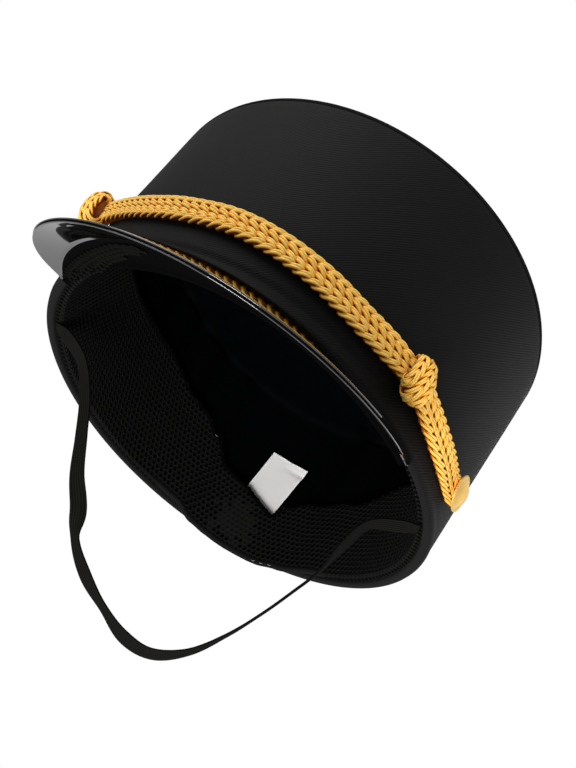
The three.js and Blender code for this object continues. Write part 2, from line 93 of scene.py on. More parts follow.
class Shade:
    """One socket of a node tree; arithmetic on it adds Math nodes."""

    def __init__(self, tree, socket=None):
        self.tree = tree
        self.socket = socket

    def node(self, kind, settings, sockets, result=0):
        """A node of a type: its settings are set first, then its sockets are given values or links."""
        made = self.tree.nodes.new(kind)
        for name, value in settings.items():
            if name == "stops":
                ramp = made.color_ramp.elements
                while len(ramp) < len(value):
                    ramp.new(1.0)
                for element, (position, colour) in zip(ramp, value):
                    element.position = position
                    element.color = (*colour, 1.0)
            else:
                setattr(made, name, value)
        for key, value in sockets.items():
            if isinstance(value, Shade):
                self.tree.links.new(value.socket, made.inputs[key])
            else:
                made.inputs[key].default_value = value
        return Shade(self.tree, made.outputs[result])

    def output(self, result):
        return Shade(self.tree, self.socket.node.outputs[result])

    def maths(self, operation, first, second=0.0):
        return self.node("ShaderNodeMath", {"operation": operation}, {0: first, 1: second})

    def __add__(self, other):
        return self.maths("ADD", self, other)

    def __sub__(self, other):
        return self.maths("SUBTRACT", self, other)

    def __rsub__(self, other):
        return self.maths("SUBTRACT", other, self)

    def __mul__(self, other):
        return self.maths("MULTIPLY", self, other)

    def __pow__(self, other):
        return self.maths("POWER", self, other)

    __radd__ = __add__
    __rmul__ = __mul__

    def wave(self):
        """Sine of this value, from 0 to 1."""
        return self.maths("SINE", self) * 0.5 + 0.5

    def step(self, low, high):
        """Smooth step from 0 at low to 1 at high."""
        settings = {"interpolation_type": "SMOOTHSTEP"}
        return self.node("ShaderNodeMapRange", settings, {"Value": self, "From Min": low, "From Max": high})

    def tint(self, dark, light):
        """Colour between two, by this value."""
        sockets = {"Factor": self, 6: (*dark, 1.0), 7: (*light, 1.0)}
        return self.node("ShaderNodeMix", {"data_type": "RGBA"}, sockets, 2)


world = bpy.data.worlds.new("white_studio")
world.use_nodes = True
backdrop = world.node_tree.nodes["Background"]
backdrop.inputs["Color"].default_value = (1.0, 1.0, 1.0, 1.0)
straight_seen = Shade(world.node_tree).node("ShaderNodeLightPath", {}, {}, "Is Camera Ray")
brightness = straight_seen * (1 - FILL_LIGHT) + FILL_LIGHT
world.node_tree.links.new(brightness.socket, backdrop.inputs["Strength"])
scene.world = world


def new_finish(name, constants):
    """Starts a material whose constant sockets are set straight on its surface shader."""
    material = bpy.data.materials.new(name)
    material.use_nodes = True
    surface = material.node_tree.nodes["Principled BSDF"]
    for socket, value in constants.items():
        surface.inputs[socket].default_value = value
    return material, Shade(material.node_tree)


def feed(root, links):
    """Joins what varies over a surface to its shader; a bump is (height, strength, distance in metres)."""
    surface = root.tree.nodes["Principled BSDF"]
    for socket, value in links.items():
        if socket == "Bump":
            sockets = dict(zip(("Height", "Strength", "Distance"), value))
            socket, value = "Normal", root.node("ShaderNodeBump", {}, sockets)
        root.tree.links.new(value.socket, surface.inputs[socket])


def speckle(root, place, scale, detail):
    """Noise from 0 to 1 at a place on a piece."""
    return root.node("ShaderNodeTexNoise", {}, {"Vector": place, "Scale": scale, "Detail": detail})


def object_place(root):
    """Place in the cap's frame, in metres."""
    return root.node("ShaderNodeTexCoord", {}, {}, "Object")


def angles_around(count):
    return np.linspace(0, 2 * np.pi, count, endpoint=False)


floor_finish, root = new_finish("pale_floor", {
    "Roughness": 0.9, "Emission Color": (1.0, 1.0, 1.0, 1.0), "Emission Strength": 0.16})
grain = speckle(root, object_place(root), 60.0, 4.0)
feed(root, {"Base Color": grain.tint((0.86, 0.86, 0.86), (0.92, 0.92, 0.92))})
corners = [
    (FLOOR_RADIUS * math.cos(turn), FLOOR_RADIUS * math.sin(turn), -FLOOR_DROP)
    for turn in angles_around(FLOOR_CORNERS)
]
floor_mesh = bpy.data.meshes.new("floor")
floor_mesh.from_pydata(corners, [], [range(len(corners))])
floor_mesh.materials.append(floor_finish)
floor = bpy.data.objects.new("floor", floor_mesh)
scene.collection.objects.link(floor)


# Chin strap: flat black elastic with fine lengthwise ribs, sewn under the sweatband's foot at both
# sides. It hangs as one loop below the rim, twisting on the way.
MM = 0.001
STRAP_WIDTH = 7.0
STRAP_THICKNESS = 1.2
STRAP_RIBS = 6
STRAP_RIB_DEPTH = 0.26
STRAP_KNIT_PITCH = 0.9
STRAP_STEPS = 320
STRAP_SIDES = 96
STRAP_ROUTE = [
    # x, y, z, facing
    (-86.2, -15.0, 0.7, (0.0, 0.0, -1.0)),
    (-80.5, -14.5, -0.6, (0.0, -0.4, -0.9)),
    (-70.5, -9.0, -4.5, (-0.4, -0.5, -0.8)),
    (-61.5, -3.0, -15.5, (-0.5, -0.7, -0.6)),
    (-53.5, 1.0, -29.5, (-0.5, -0.8, -0.5)),
    (-45.5, 4.5, -44.0, (-0.3, -0.9, -0.4)),
    (-37.5, 8.0, -54.5, (0.1, -1.0, -0.3)),
    (-31.5, 11.5, -65.5, (-0.6, -0.5, -0.7)),
    (-20.5, 14.5, -74.5, (-0.4, -0.6, -0.7)),
    (-7.0, 16.0, -81.5, (-0.4, -0.3, -0.9)),
    (6.5, 16.5, -87.0, (-0.2, -0.5, -0.8)),
    (20.0, 14.5, -87.5, (0.2, -0.3, -0.9)),
    (32.5, 11.0, -80.5, (0.7, 0.0, -0.8)),
    (42.5, 6.0, -68.5, (0.8, 0.2, -0.5)),
    (50.5, 0.5, -55.5, (0.9, 0.3, -0.4)),
    (56.5, -4.5, -44.0, (0.9, 0.3, -0.4)),
    (61.5, -8.5, -33.0, (1.0, 0.2, -0.2)),
    (64.5, -12.5, -21.0, (1.0, -0.2, -0.3)),
    (69.0, -15.5, -9.0, (0.7, -0.1, -0.7)),
    (79.0, -14.0, -2.4, (0.3, -0.3, -0.9)),
    (86.2, -13.5, 0.7, (0.0, 0.0, -1.0)),
]


def unit(vectors):
    return vectors / np.linalg.norm(vectors, axis=-1, keepdims=True)


def run_length(path):
    """Length along a path at each of its points."""
    return np.concatenate([[0], np.cumsum(np.linalg.norm(np.diff(path, axis=0), axis=1))])


def at_length(at, lengths, path):
    """Place on a path at a length along it."""
    return np.stack([np.interp(at, lengths, column) for column in path.T], axis=-1)


def spline(stations, values, steps):
    """Smooth path through stations and the values along it, at even lengths, with those lengths."""
    share = np.linspace(0, 1, 41)[:, None]
    smooth = []
    for rows in (stations, values):
        rows = np.vstack([2 * rows[0] - rows[1], rows, 2 * rows[-1] - rows[-2]])
        spans = []
        for i in range(len(stations) - 1):
            p0, p1, p2, p3 = rows[i:i + 4]
            gaps = np.sqrt(np.maximum(np.linalg.norm(np.diff(rows[i:i + 4], axis=0), axis=1), 1e-6))
            start = (p1 - p0) / gaps[0] - (p2 - p0) / (gaps[0] + gaps[1]) + (p2 - p1) / gaps[1]
            end = (p2 - p1) / gaps[1] - (p3 - p1) / (gaps[1] + gaps[2]) + (p3 - p2) / gaps[2]
            start, end = start * gaps[1], end * gaps[1]
            spans.append(p1 + start * share + (3 * (p2 - p1) - 2 * start - end) * share ** 2
                         + (2 * (p1 - p2) + start + end) * share ** 3)
        smooth.append(np.vstack(spans))
    lengths = run_length(smooth[0])
    at = np.linspace(0, lengths[-1], steps + 1)
    return at_length(at, lengths, smooth[0]), at_length(at, lengths, smooth[1]), at


def path_frames(path, facing):
    """Directions along a path, across it and out of it on the facing side."""
    along = unit(np.gradient(path, axis=0))
    across = unit(np.cross(along, facing))
    return along, across, np.cross(across, along)


def new_piece(name, points, faces, uv, finish):
    """Smooth mesh object from points in millimetres, with a surface coordinate for each face corner."""
    mesh = bpy.data.meshes.new(name)
    mesh.from_pydata((np.asarray(points) * MM).tolist(), [], faces)
    layer = mesh.uv_layers.new(name="cloth")
    layer.data.foreach_set("uv", np.asarray(uv, dtype=np.float32).ravel())
    mesh.materials.append(finish)
    mesh.shade_smooth()
    mesh.update()
    piece = bpy.data.objects.new(name, mesh)
    scene.collection.objects.link(piece)
    return piece


def grid_faces(grid, uv, round_rows, round_columns):
    """Points, faces and corner coordinates of a grid whose rows or columns may close on themselves.

    Where they close, uv has one row or column more than the grid has."""
    rows, columns = grid.shape[:2]
    faces, corners = [], []
    for i in range(rows - (not round_rows)):
        for j in range(columns - (not round_columns)):
            cell = ((i, j), (i + 1, j), (i + 1, j + 1), (i, j + 1))
            faces.append([(a % rows) * columns + b % columns for a, b in cell])
            corners.extend(uv[a, b] for a, b in cell)
    return grid.reshape(-1, 3), faces, corners


def capped(grid, uv):
    """Grid closed round its columns, with a fan about the middle of its first and its last row."""
    points, faces, corners = grid_faces(grid, uv, False, True)
    first = np.arange(grid.shape[1])
    last = first + len(points) - len(first)
    for loop, flip in ((first, True), (last, False)):
        middle = len(points)
        points = np.vstack([points, points[loop].mean(axis=0)])
        for a, b in zip(loop, np.roll(loop, -1)):
            faces.append([middle, b, a] if flip else [middle, a, b])
            corners.extend([corners[0]] * 3)
    return points, faces, corners


def lay_uv(first, second):
    return np.stack(np.meshgrid(first, second, indexing="ij"), axis=-1)


def own_place(root):
    """A piece's own two surface coordinates, in millimetres."""
    return root.node("ShaderNodeUVMap", {"uv_map": "cloth"}, {})


def along_across(root):
    """The two surface coordinates, apart and together."""
    place = own_place(root)
    split = root.node("ShaderNodeSeparateXYZ", {}, {"Vector": place})
    return split, split.output(1), place


stations = np.array([row[:3] for row in STRAP_ROUTE])
facings = unit(np.array([row[3] for row in STRAP_ROUTE]))
path, facing, lengths = spline(stations, facings, STRAP_STEPS)
along, across, out = path_frames(path, facing)
turn = angles_around(STRAP_SIDES)
flat = np.sign(np.cos(turn)) * np.abs(np.cos(turn)) ** 0.7
bulge = np.sign(np.sin(turn)) * np.abs(np.sin(turn)) ** 0.35
rib_depth = STRAP_RIB_DEPTH * (0.5 - 0.5 * np.cos(STRAP_RIBS * np.pi * (flat + 1)))
ribbed = bulge * (STRAP_THICKNESS / 2 - rib_depth)
aside = flat * STRAP_WIDTH / 2
grid = path[:, None] + across[:, None] * aside[:, None] + out[:, None] * ribbed[:, None]
points, faces, corners = capped(grid, lay_uv(lengths, np.append(aside, aside[0])))

strap_finish, root = new_finish(
    "strap_elastic", {"Sheen Weight": 0.005, "Sheen Roughness": 0.5, "Specular IOR Level": 0.05})
u, v, place = along_across(root)
knit = (u * (2 * math.pi / STRAP_KNIT_PITCH)).wave()
rib = (v * (2 * math.pi * STRAP_RIBS / STRAP_WIDTH) - math.pi / 2).wave()
fuzz = speckle(root, place, 2.2, 5.0)
raised = rib * 0.65 + knit * 0.15 + fuzz * 0.2
feed(root, {
    "Base Color": raised.tint((0.0002, 0.0002, 0.0002), (0.0078, 0.0074, 0.0066)),
    "Roughness": fuzz * 0.2 + 0.6,
    "Bump": (knit * 0.6 + fuzz * 0.4, 0.5, 0.00012),
})
chin_strap = new_piece("elastic_chin_strap", points, faces, corners, strap_finish)
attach(chin_strap, "root")
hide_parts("chin_strap")


# Crown side: a tall wall of black twill sewn into a ring, its lower edge turned up as a rolled hem.
# Over the peak the cloth stands out in a soft ridge with a crease above it.
RIM_HALF_WIDTH = 92.5
RIM_HALF_LENGTH = 106.0
TOP_HALF_WIDTH = 95.0
TOP_HALF_LENGTH = 94.0
TOP_SHIFT_BACK = 2.5
TOP_MID_HEIGHT = 96.0
TOP_FALL_TO_BACK = 0.16
TOP_PANEL_THICKNESS = 2.0
CLOTH = 2.0
HEM_THICKNESS = 4.0
GAP = 0.3
PEAK_HALF_ANGLE = math.radians(55.5)
RIM_RISE = 1.4
TWILL_PITCH = 1.05
TWILL_ANGLE = math.radians(42)
FRONT_RELIEF = np.array([
    # above the rim, outwards
    (0.0, 0.0),
    (0.8, 0.2),
    (3.0, 1.3),
    (6.0, 0.6),
    (8.5, -1.0),
    (12.0, 0.0),
    (20.0, 0.0),
])
RELIEF_TOP = 20.0
HEM_OUTSIDE = [(0.0, 1.9), (0.06, 1.2), (0.25, 0.6), (0.55, 0.22), (1.0, 0.0)]
HEM_INSIDE = [
    # above the rim, inset
    (9.5, CLOTH), (7.2, HEM_THICKNESS), (1.0, HEM_THICKNESS), (0.55, 3.8), (0.25, 3.4), (0.06, 2.7),
]
HEAD_EDGE = [
    # below the head, inset
    (0.7, 0.1), (0.25, 0.32), (0.05, 0.7), (0.0, 1.2), (0.0, CLOTH),
]
HEAD_TURN = 1.4
HEM_BULGES = ((0.3, 2.0, 1.6), (-0.22, 5.0, 0.9))
CROWN_STEPS = 288
MEAN_RADIUS = 100.0


def rows_value(keys, values, at):
    """Smooth value of a table's column."""
    i = np.clip(np.searchsorted(keys, at) - 1, 0, len(keys) - 2)
    share = np.clip((at - keys[i]) / (keys[i + 1] - keys[i]), 0, 1)
    return values[i] + (values[i + 1] - values[i]) * share * share * (3 - 2 * share)


def peak_share(angle):
    """How strongly the peak shapes the rim: 1 at the front, 0 at the peak's ends."""
    turned = np.abs(np.arctan2(np.sin(angle), np.cos(angle)))
    return np.cos(np.minimum(1, turned / PEAK_HALF_ANGLE) * np.pi / 2) ** 2


def rim_height(angle):
    return RIM_RISE * peak_share(angle)


def rim_edge(angle):
    return np.stack([RIM_HALF_WIDTH * np.sin(angle), -RIM_HALF_LENGTH * np.cos(angle), 0 * angle], axis=-1)


def top_edge(angle):
    y = TOP_SHIFT_BACK - TOP_HALF_LENGTH * np.cos(angle)
    return np.stack([TOP_HALF_WIDTH * np.sin(angle), y, TOP_MID_HEIGHT - TOP_FALL_TO_BACK * y], axis=-1)


def outward(angle):
    slopes = [np.sin(angle) / RIM_HALF_WIDTH, -np.cos(angle) / RIM_HALF_LENGTH, 0 * angle]
    return unit(np.stack(slopes, axis=-1))


def wall(angle, height, inset=0.0):
    """Point on the crown's wall at an angle from the front and a height, moved inwards by inset."""
    angle, height, inset = np.broadcast_arrays(np.asarray(angle, float), height, inset)
    rim, top = rim_edge(angle), top_edge(angle)
    return rim + (top - rim) * (height / top[..., 2])[..., None] - outward(angle) * inset[..., None]


def wall_rows(angle, rows):
    """Grid on the wall from rows of height and inset."""
    return np.stack([wall(angle, height, inset) for height, inset in rows], axis=1)


angles = angles_around(CROWN_STEPS)
foot = rim_height(angles)
head = top_edge(angles)[:, 2] - TOP_PANEL_THICKNESS - GAP
rows = [(foot + above, inset) for above, inset in HEM_OUTSIDE]
for above in np.arange(1.6, 20.1, 0.7):
    relief = rows_value(FRONT_RELIEF[:, 0], FRONT_RELIEF[:, 1], above) * peak_share(angles)
    hem_roll = sum(size * math.exp(-((above - middle) / spread) ** 2) for size, middle, spread in HEM_BULGES)
    rows.append((foot + above, -relief - hem_roll * (1 - peak_share(angles))))
for share in np.linspace(0.06, 1.0, 26):
    height = foot + RELIEF_TOP + (head - HEAD_TURN - foot - RELIEF_TOP) * share
    drift = np.sin(3 * angles + 1) * 0.35 + np.sin(7 * angles + 2 * share) * 0.18
    rows.append((height, -drift * math.sin(math.pi * share)))
rows += [(head - below, inset) for below, inset in HEAD_EDGE]
rows.append((head * 0.5, CLOTH))
rows += [(foot + above, inset) for above, inset in HEM_INSIDE]
grid = wall_rows(angles, rows)
heights = np.stack([height for height, _ in rows], axis=1)
uv = np.stack([np.broadcast_to(angles[:, None] * MEAN_RADIUS, heights.shape), heights], axis=-1)
uv = np.concatenate([uv, uv[:1] + (2 * np.pi * MEAN_RADIUS, 0)], axis=0)
uv = np.concatenate([uv, uv[:, :1]], axis=1)
points, faces, corners = grid_faces(grid, uv, True, True)

crown_finish, root = new_finish(
    "crown_twill", {"Sheen Weight": 0.012, "Sheen Roughness": 0.4, "Specular IOR Level": 0.1})
u, v, place = along_across(root)
wander = speckle(root, place, 0.12, 2.0) * 0.9
steep, level_share = math.sin(TWILL_ANGLE), math.cos(TWILL_ANGLE)
line = ((u * steep - v * level_share) * (2 * math.pi / TWILL_PITCH) + wander).wave()
thread = ((u * level_share + v * steep) * (2 * math.pi / (TWILL_PITCH * 0.45))).wave()
blotch = speckle(root, place, 0.03, 4.0)
fuzz = speckle(root, place, 1.6, 6.0)
weave = line * 0.55 + thread * 0.15 + fuzz * 0.3
feed(root, {
    "Base Color": (weave * 0.7 + blotch * 0.3).tint((0.0003, 0.0003, 0.0003), (0.0066, 0.0065, 0.0062)),
    "Roughness": weave * -0.15 + 0.78,
    "Bump": (weave, 0.9, 0.00016),
})
crown_side = new_piece("twill_crown_side", points, faces, corners, crown_finish)
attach(crown_side, "root")
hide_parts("crown_side")


# Crown top: a flat oval panel of the same twill, sloping down to the back, sewn to the wall in a
# seam that pulls both edges in to a narrow groove.
TOP_EDGE = [
    # inset, below the top
    (1.0, 1.9), (0.3, 1.6), (0.05, 1.2), (0.0, 0.9), (0.15, 0.5), (0.5, 0.16), (1.1, 0.0), (2.4, -0.05),
]
TOP_SHARES = (0.9, 0.8, 0.68, 0.55, 0.42, 0.3, 0.18, 0.09, 0.04, 0.012, 0.002)
TOP_DISH = 0.5
TOP_UNDER = (0.0, 0.0, 0.1)

loops = []
for inset, below in TOP_EDGE:
    loop = top_edge(angles) - outward(angles) * inset
    loop[:, 2] = TOP_MID_HEIGHT - TOP_FALL_TO_BACK * loop[:, 1] - below
    loops.append(loop)
flat_edge = loops[-1]
centre = np.array([0.0, TOP_SHIFT_BACK, TOP_MID_HEIGHT - TOP_FALL_TO_BACK * TOP_SHIFT_BACK])
for share in TOP_SHARES:
    loop = centre + (flat_edge - centre) * share
    loop[:, 2] -= TOP_DISH * (1 - share * share)
    loops.append(loop)
grid = np.stack([loops[0] - TOP_UNDER] + loops, axis=0)
uv = grid[..., :2]
uv = np.concatenate([uv, uv[:, :1]], axis=1)
points, faces, corners = capped(grid[:, ::-1], uv[:, ::-1])
crown_top = new_piece("twill_crown_top", points, faces, corners, crown_finish)
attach(crown_top, "root")
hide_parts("crown_top")


# Peak: a stiff board core between two skins of glossy black patent, sewn under the front of the rim
# and bent steeper along its outer half. The dull core shows as a line along the crescent edge. A thin
# black cloth facing covers the inner half underneath and is turned over the edge at one end.
PEAK_DEPTH = 57.4
PEAK_SLOPE = math.radians(30.2)
PEAK_END_STEEPER = math.radians(7.5)
PEAK_BOW = math.radians(19)
PEAK_BEND = (0.29, 0.6)
PEAK_THICKNESS = 1.6
PEAK_ROOT_INSET = 4.5
PEAK_ROOT_BEND = 0.6
PEAK_SEAT_ROWS = (2.2, 1.1)
PEAK_END_DEPTH = 1.0
PEAK_TAPER = 1.24
PEAK_SKIN = 0.5
PEAK_LIP_STRETCH = 1.4
PEAK_GROOVE = 0.35
PEAK_STATIONS = 180
PEAK_SLOPE_ROWS = 28
PEAK_FACING_ROWS = 14
PEAK_FACING = 0.3
PEAK_TUCKED_FROM = 0.6
FACING_PAINTED_SHADE = (32.0, 18.0)

station_share = np.sin(np.linspace(-np.pi / 2, np.pi / 2, PEAK_STATIONS + 1))
angle = station_share * PEAK_HALF_ANGLE
depth = PEAK_END_DEPTH + PEAK_DEPTH * (1 - station_share ** 2) ** PEAK_TAPER
bow = PEAK_BOW * depth / (PEAK_END_DEPTH + PEAK_DEPTH)
out = outward(angle)
down = np.array([0.0, 0.0, -1.0])


def peak_slope(reach):
    """Slope of the peak, at every station across it, at a share of the way from root to edge."""
    bent = np.clip((reach - PEAK_BEND[0]) / (PEAK_BEND[1] - PEAK_BEND[0]), 0, 1)
    steeper = 0.9 * bent * bent * (3 - 2 * bent) - 0.5
    return PEAK_SLOPE + PEAK_END_STEEPER * station_share ** 2 + bow * steeper


def downhill(slope):
    return out * np.cos(slope)[:, None] + down * np.sin(slope)[:, None]


def underneath(slope):
    return down * np.cos(slope)[:, None] - out * np.sin(slope)[:, None]


root_line = rim_edge(angle)
root_line[:, 2] = rim_height(angle) - GAP
bend = root_line - out * PEAK_ROOT_BEND
seat = root_line - out * PEAK_ROOT_INSET
faced = PEAK_THICKNESS + PEAK_FACING
upper = [seat] + [bend - out * inwards for inwards in PEAK_SEAT_ROWS]
lower = [row + down * faced for row in upper]
point = bend
trim = (depth - PEAK_SKIN * 0.7)[:, None] / PEAK_SLOPE_ROWS
for step in range(PEAK_SLOPE_ROWS):
    point = point + downhill(peak_slope((step + 0.5) / PEAK_SLOPE_ROWS)) * trim
    upper.append(point)
    thickness = faced if step < PEAK_FACING_ROWS else PEAK_THICKNESS
    lower.append(point + underneath(peak_slope((step + 1) / PEAK_SLOPE_ROWS)) * thickness)
edge_out = downhill(peak_slope(1.0))
edge_under = underneath(peak_slope(1.0))
lip = PEAK_SKIN * 0.5
lower_lip = PEAK_THICKNESS - 2 * lip


def lip_rows(turns, below):
    """Reach and drop of a skin's rounded edge, at quarter turns from its upper side."""
    return [(lip * PEAK_LIP_STRETCH * math.sin(turn), below + lip * (1 - math.cos(turn)))
            for turn in turns * np.pi / 2]


rim_rows = lip_rows(np.linspace(0.25, 2.0, 8), 0.0)
core_from = len(upper) + len(rim_rows) - 1
rim_rows += [(-PEAK_GROOVE, 2 * lip + 0.05), (-PEAK_GROOVE, lower_lip - 0.05)]
core_to = len(upper) + len(rim_rows)
rim_rows += lip_rows(np.linspace(0.0, 1.75, 8), lower_lip)
edge_rows = [upper[-1] + edge_out * forward + edge_under * drop for forward, drop in rim_rows]
grid = np.stack(upper + edge_rows + lower[::-1], axis=1)
width = grid.shape[1]
reach = run_length(grid[PEAK_STATIONS // 2])
points, faces, corners = capped(grid, lay_uv(angle * MEAN_RADIUS, np.append(reach, reach[-1] + 1)))


def fibre_finish(name, specular, place_of, grain, tones, roughness, bump=None):
    """Dull finish whose tone, roughness and bump follow one noise, given by its scale and detail."""
    finish, root = new_finish(name, {"Specular IOR Level": specular})
    fibre = speckle(root, place_of(root), *grain)
    feed(root, {"Base Color": fibre.tint(*tones), "Roughness": fibre * roughness[0] + roughness[1]})
    if bump:
        feed(root, {"Bump": (fibre, *bump)})
    return finish


patent_finish, root = new_finish("peak_patent", {
    "Specular IOR Level": 0.4, "Coat Weight": 1.0, "Coat Roughness": 0.03, "Coat IOR": 1.7})
place = own_place(root)
grain = speckle(root, place, 0.9, 6.0)
swell = speckle(root, place, 0.05, 2.0)
feed(root, {
    "Base Color": grain.tint((0.0008, 0.0008, 0.0009), (0.002, 0.002, 0.0022)),
    "Roughness": grain * 0.05 + 0.03,
    "Bump": (grain * 0.06 + swell, 0.2, 0.0004),
})
board_finish = fibre_finish(
    "peak_core", 0.05, own_place, (1.5, 4.0), ((0.0008, 0.0008, 0.0008), (0.003, 0.003, 0.003)), (0.1, 0.85))
facing_finish, root = new_finish("peak_facing", {"Specular IOR Level": 0.02})
u, v, place = along_across(root)
# Painted shade: the facing's colour darkens towards the peak's root underneath, inside the cap.
painted_shade_to_root = v.step(reach[-1] - FACING_PAINTED_SHADE[0], reach[-1] - FACING_PAINTED_SHADE[1])
weft = ((u + v) * (2 * math.pi / 0.8)).wave() * 0.5 + speckle(root, place, 1.2, 5.0) * 0.5
weft_and_painted_shade = weft * (1 - painted_shade_to_root * 0.85)
feed(root, {
    "Base Color": weft_and_painted_shade.tint((0.0002, 0.0002, 0.0002), (0.0019, 0.0019, 0.0018)),
    "Roughness": weft * 0.1 + 0.8,
    "Bump": (weft, 0.5, 0.00012),
})
peak = new_piece("patent_peak", points, faces, corners, patent_finish)
peak.data.materials.append(board_finish)
peak.data.materials.append(facing_finish)
faced_rows = PEAK_FACING_ROWS + len(PEAK_SEAT_ROWS) + 1
for face in peak.data.polygons[:PEAK_STATIONS * width]:
    station, row = divmod(face.index, width)
    tucked = station_share[station] > PEAK_TUCKED_FROM and len(upper) - 2 <= row < core_from
    if core_from <= row < core_to:
        face.material_index = 1
    elif tucked or row >= width - faced_rows:
        face.material_index = 2
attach(peak, "root")
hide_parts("peak")


# Sweatband: black air mesh over a thin foam pad, its foot sewn against the hem and turned out under
# one end of the peak. The knitted face has rows of staggered holes, felted over where it laps at the
# back; there it is cut low and sags a little below the rim, held by a few pale tacking stitches.
BAND_GIRTH = 580.0
BAND_FOOT_INSET = HEM_THICKNESS + GAP
BAND_FACE_INSET = 7.0
BAND_TOP_LEAN = 1.8
BAND_THICKNESS = 2.6
BAND_FOOT_ROUND = 1.2
BAND_HEAD_ROUND = 0.9
MESH_PITCH = 2.8
MESH_HOLE_SHARE = 0.56
FELTED_HOLE_SHARE = 0.2
TURN_OUT_HOLE_SHARE = 0.62
MESH_RELIEF = 0.16
FELT_MIDDLE = (181.5, 9.5)
FELT_REACH = (9.0, 13.0)
TURN_OUT = np.array([
    # share of the peak's half, reach from the seat of its inner and its outer edge
    (-0.94, 0.0, 3.6),
    (-0.85, 0.2, 6.0),
    (-0.67, 1.2, 10.5),
    (-0.5, 7.0, 16.0),
    (-0.4, 11.5, 20.0),
    (-0.3, 16.5, 21.0),
])
TURN_OUT_SIZE = 1.2
TURN_OUT_ROWS = 4
PEAK_HALF_GIRTH = 102.0
HEAD_FOLD = [
    # above the band's head, inwards
    (-2.0, 0.15), (-1.0, 0.3), (-0.2, 0.1), (0.15, -0.6),
    (0.1, -1.3), (-0.7, -1.9), (-1.5, -1.4), (-2.0, -0.5),
]
HEAD_FOLD_STEPS = 480
FOOT_FOLD_SPAN = (138.0, 216.0)
FOOT_FOLD_RADIUS = 1.48
FOOT_FOLD_TAPER = math.radians(9)
FOOT_FOLD_MIDDLE = 1.4
FOOT_FOLD_STEPS = 200
FOOT_FOLD_SIDES = 16
TACK_LENGTH = 1.6
TACK_RADIUS = 0.15
TACK_OUT = np.array([0.0, -0.4, -1.0])
TACKS = [
    # degrees, height, inset
    (169.2, -3.0, 7.0),
    (166.4, -2.6, 7.0),
    (163.5, -1.9, 7.0),
    (202.7, 39.4, 9.3),
]
PAD_STEPS = 240
BAND_EDGES = np.array([
    # degrees, foot, head
    (-180, -4.0, 25.2),
    (-178, -3.9, 26.4),
    (-176, -3.75, 27.6),
    (-172, -3.3, 28.6),
    (-166, -2.4, 30.5),
    (-158.5, 1.3, 39.8),
    (-150, 1.7, 46.5),
    (-125, 1.7, 55.0),
    (-60, 1.7, 52.0),
    (0, 1.7, 50.0),
    (60, 1.7, 53.0),
    (110, 1.7, 56.0),
    (128, 1.7, 54.5),
    (148, 1.2, 40.0),
    (162, -2.2, 33.6),
    (169, -3.8, 28.0),
    (172, -4.0, 20.4),
    (174, -4.0, 21.6),
    (176, -4.0, 22.8),
    (178, -4.0, 24.0),
    (180, -4.0, 25.2),
])


def band_edges(angle):
    """Heights of the sweatband's foot and head at an angle."""
    degrees = np.degrees(np.arctan2(np.sin(angle), np.cos(angle)))
    foot_rise = rows_value(BAND_EDGES[:, 0], BAND_EDGES[:, 1], degrees)
    return rim_height(angle) + foot_rise, rows_value(BAND_EDGES[:, 0], BAND_EDGES[:, 2], degrees)


def band_outline(angle, back_off):
    """Sweatband's section from under its foot, round it, up the face and over the head."""
    foot, head = band_edges(angle)
    face = BAND_FACE_INSET - back_off
    leaned = face + BAND_TOP_LEAN
    low, bend = foot + back_off, face - BAND_FOOT_ROUND
    rows = [(low, BAND_FOOT_INSET + 0.1), (low, bend)]
    for turn in np.linspace(0.15, 1.0, 6) * np.pi / 2:
        rows.append((low + BAND_FOOT_ROUND * (1 - np.cos(turn)), bend + BAND_FOOT_ROUND * np.sin(turn)))
    for share in np.linspace(0.08, 1.0, 14):
        swell = 0.35 * np.sin(np.pi * share)
        height = foot + BAND_FOOT_ROUND + (head - 2.2 - foot) * share
        rows.append((height, face + (leaned - face) * share + swell))
    for turn in np.linspace(0.2, 1.0, 5) * np.pi / 2:
        height = head - 1.0 + BAND_HEAD_ROUND * np.sin(turn) - back_off * 0.5
        rows.append((height, leaned - BAND_HEAD_ROUND * (1 - np.cos(turn))))
    return wall_rows(angle, rows)


pad_angles = angles_around(PAD_STEPS)
front = band_outline(pad_angles, 0.7)
foot, head = band_edges(pad_angles)
leaned_back = BAND_FACE_INSET + BAND_TOP_LEAN - BAND_THICKNESS
behind = wall_rows(pad_angles, [
    (head - 0.4, leaned_back + 0.5),
    (head - 1.2, leaned_back),
    ((head + foot) / 2, (leaned_back + BAND_FOOT_INSET) / 2 + 0.1),
    (foot + BAND_THICKNESS + 1, BAND_FACE_INSET - BAND_THICKNESS),
    (foot + BAND_THICKNESS, BAND_FOOT_INSET),
])
grid = np.concatenate([front, behind], axis=1)
reach = np.arange(grid.shape[1] + 1) * 2.0
uv = lay_uv(np.append(pad_angles, 2 * np.pi) * MEAN_RADIUS, reach)
points, faces, corners = grid_faces(grid, uv, True, True)

pad_finish = fibre_finish(
    "band_foam", 0.0, own_place, (0.9, 4.0), ((0.0008, 0.0008, 0.0008), (0.0019, 0.0019, 0.0019)),
    (0.1, 0.85), (0.4, 0.0002))
mesh_finish, root = new_finish(
    "band_air_mesh", {"Sheen Weight": 0.01, "Sheen Roughness": 0.5, "Specular IOR Level": 0.06})
place = object_place(root)
lint = speckle(root, place, 900.0, 4.0)
patch = speckle(root, place, 40.0, 3.0)
feed(root, {
    "Base Color": (lint * 0.6 + patch * 0.4).tint((0.0029, 0.0029, 0.0028), (0.0077, 0.0076, 0.0071)),
    "Roughness": lint * 0.2 + 0.65,
    "Bump": (lint, 0.4, 0.0001),
})
pad = new_piece("sweatband_pad", points, faces, corners, pad_finish)


def turned(first, third):
    """Rotation whose local X and Z lie along two directions."""
    second = np.cross(third, first)
    return Matrix((first, second, third)).transposed().to_euler()


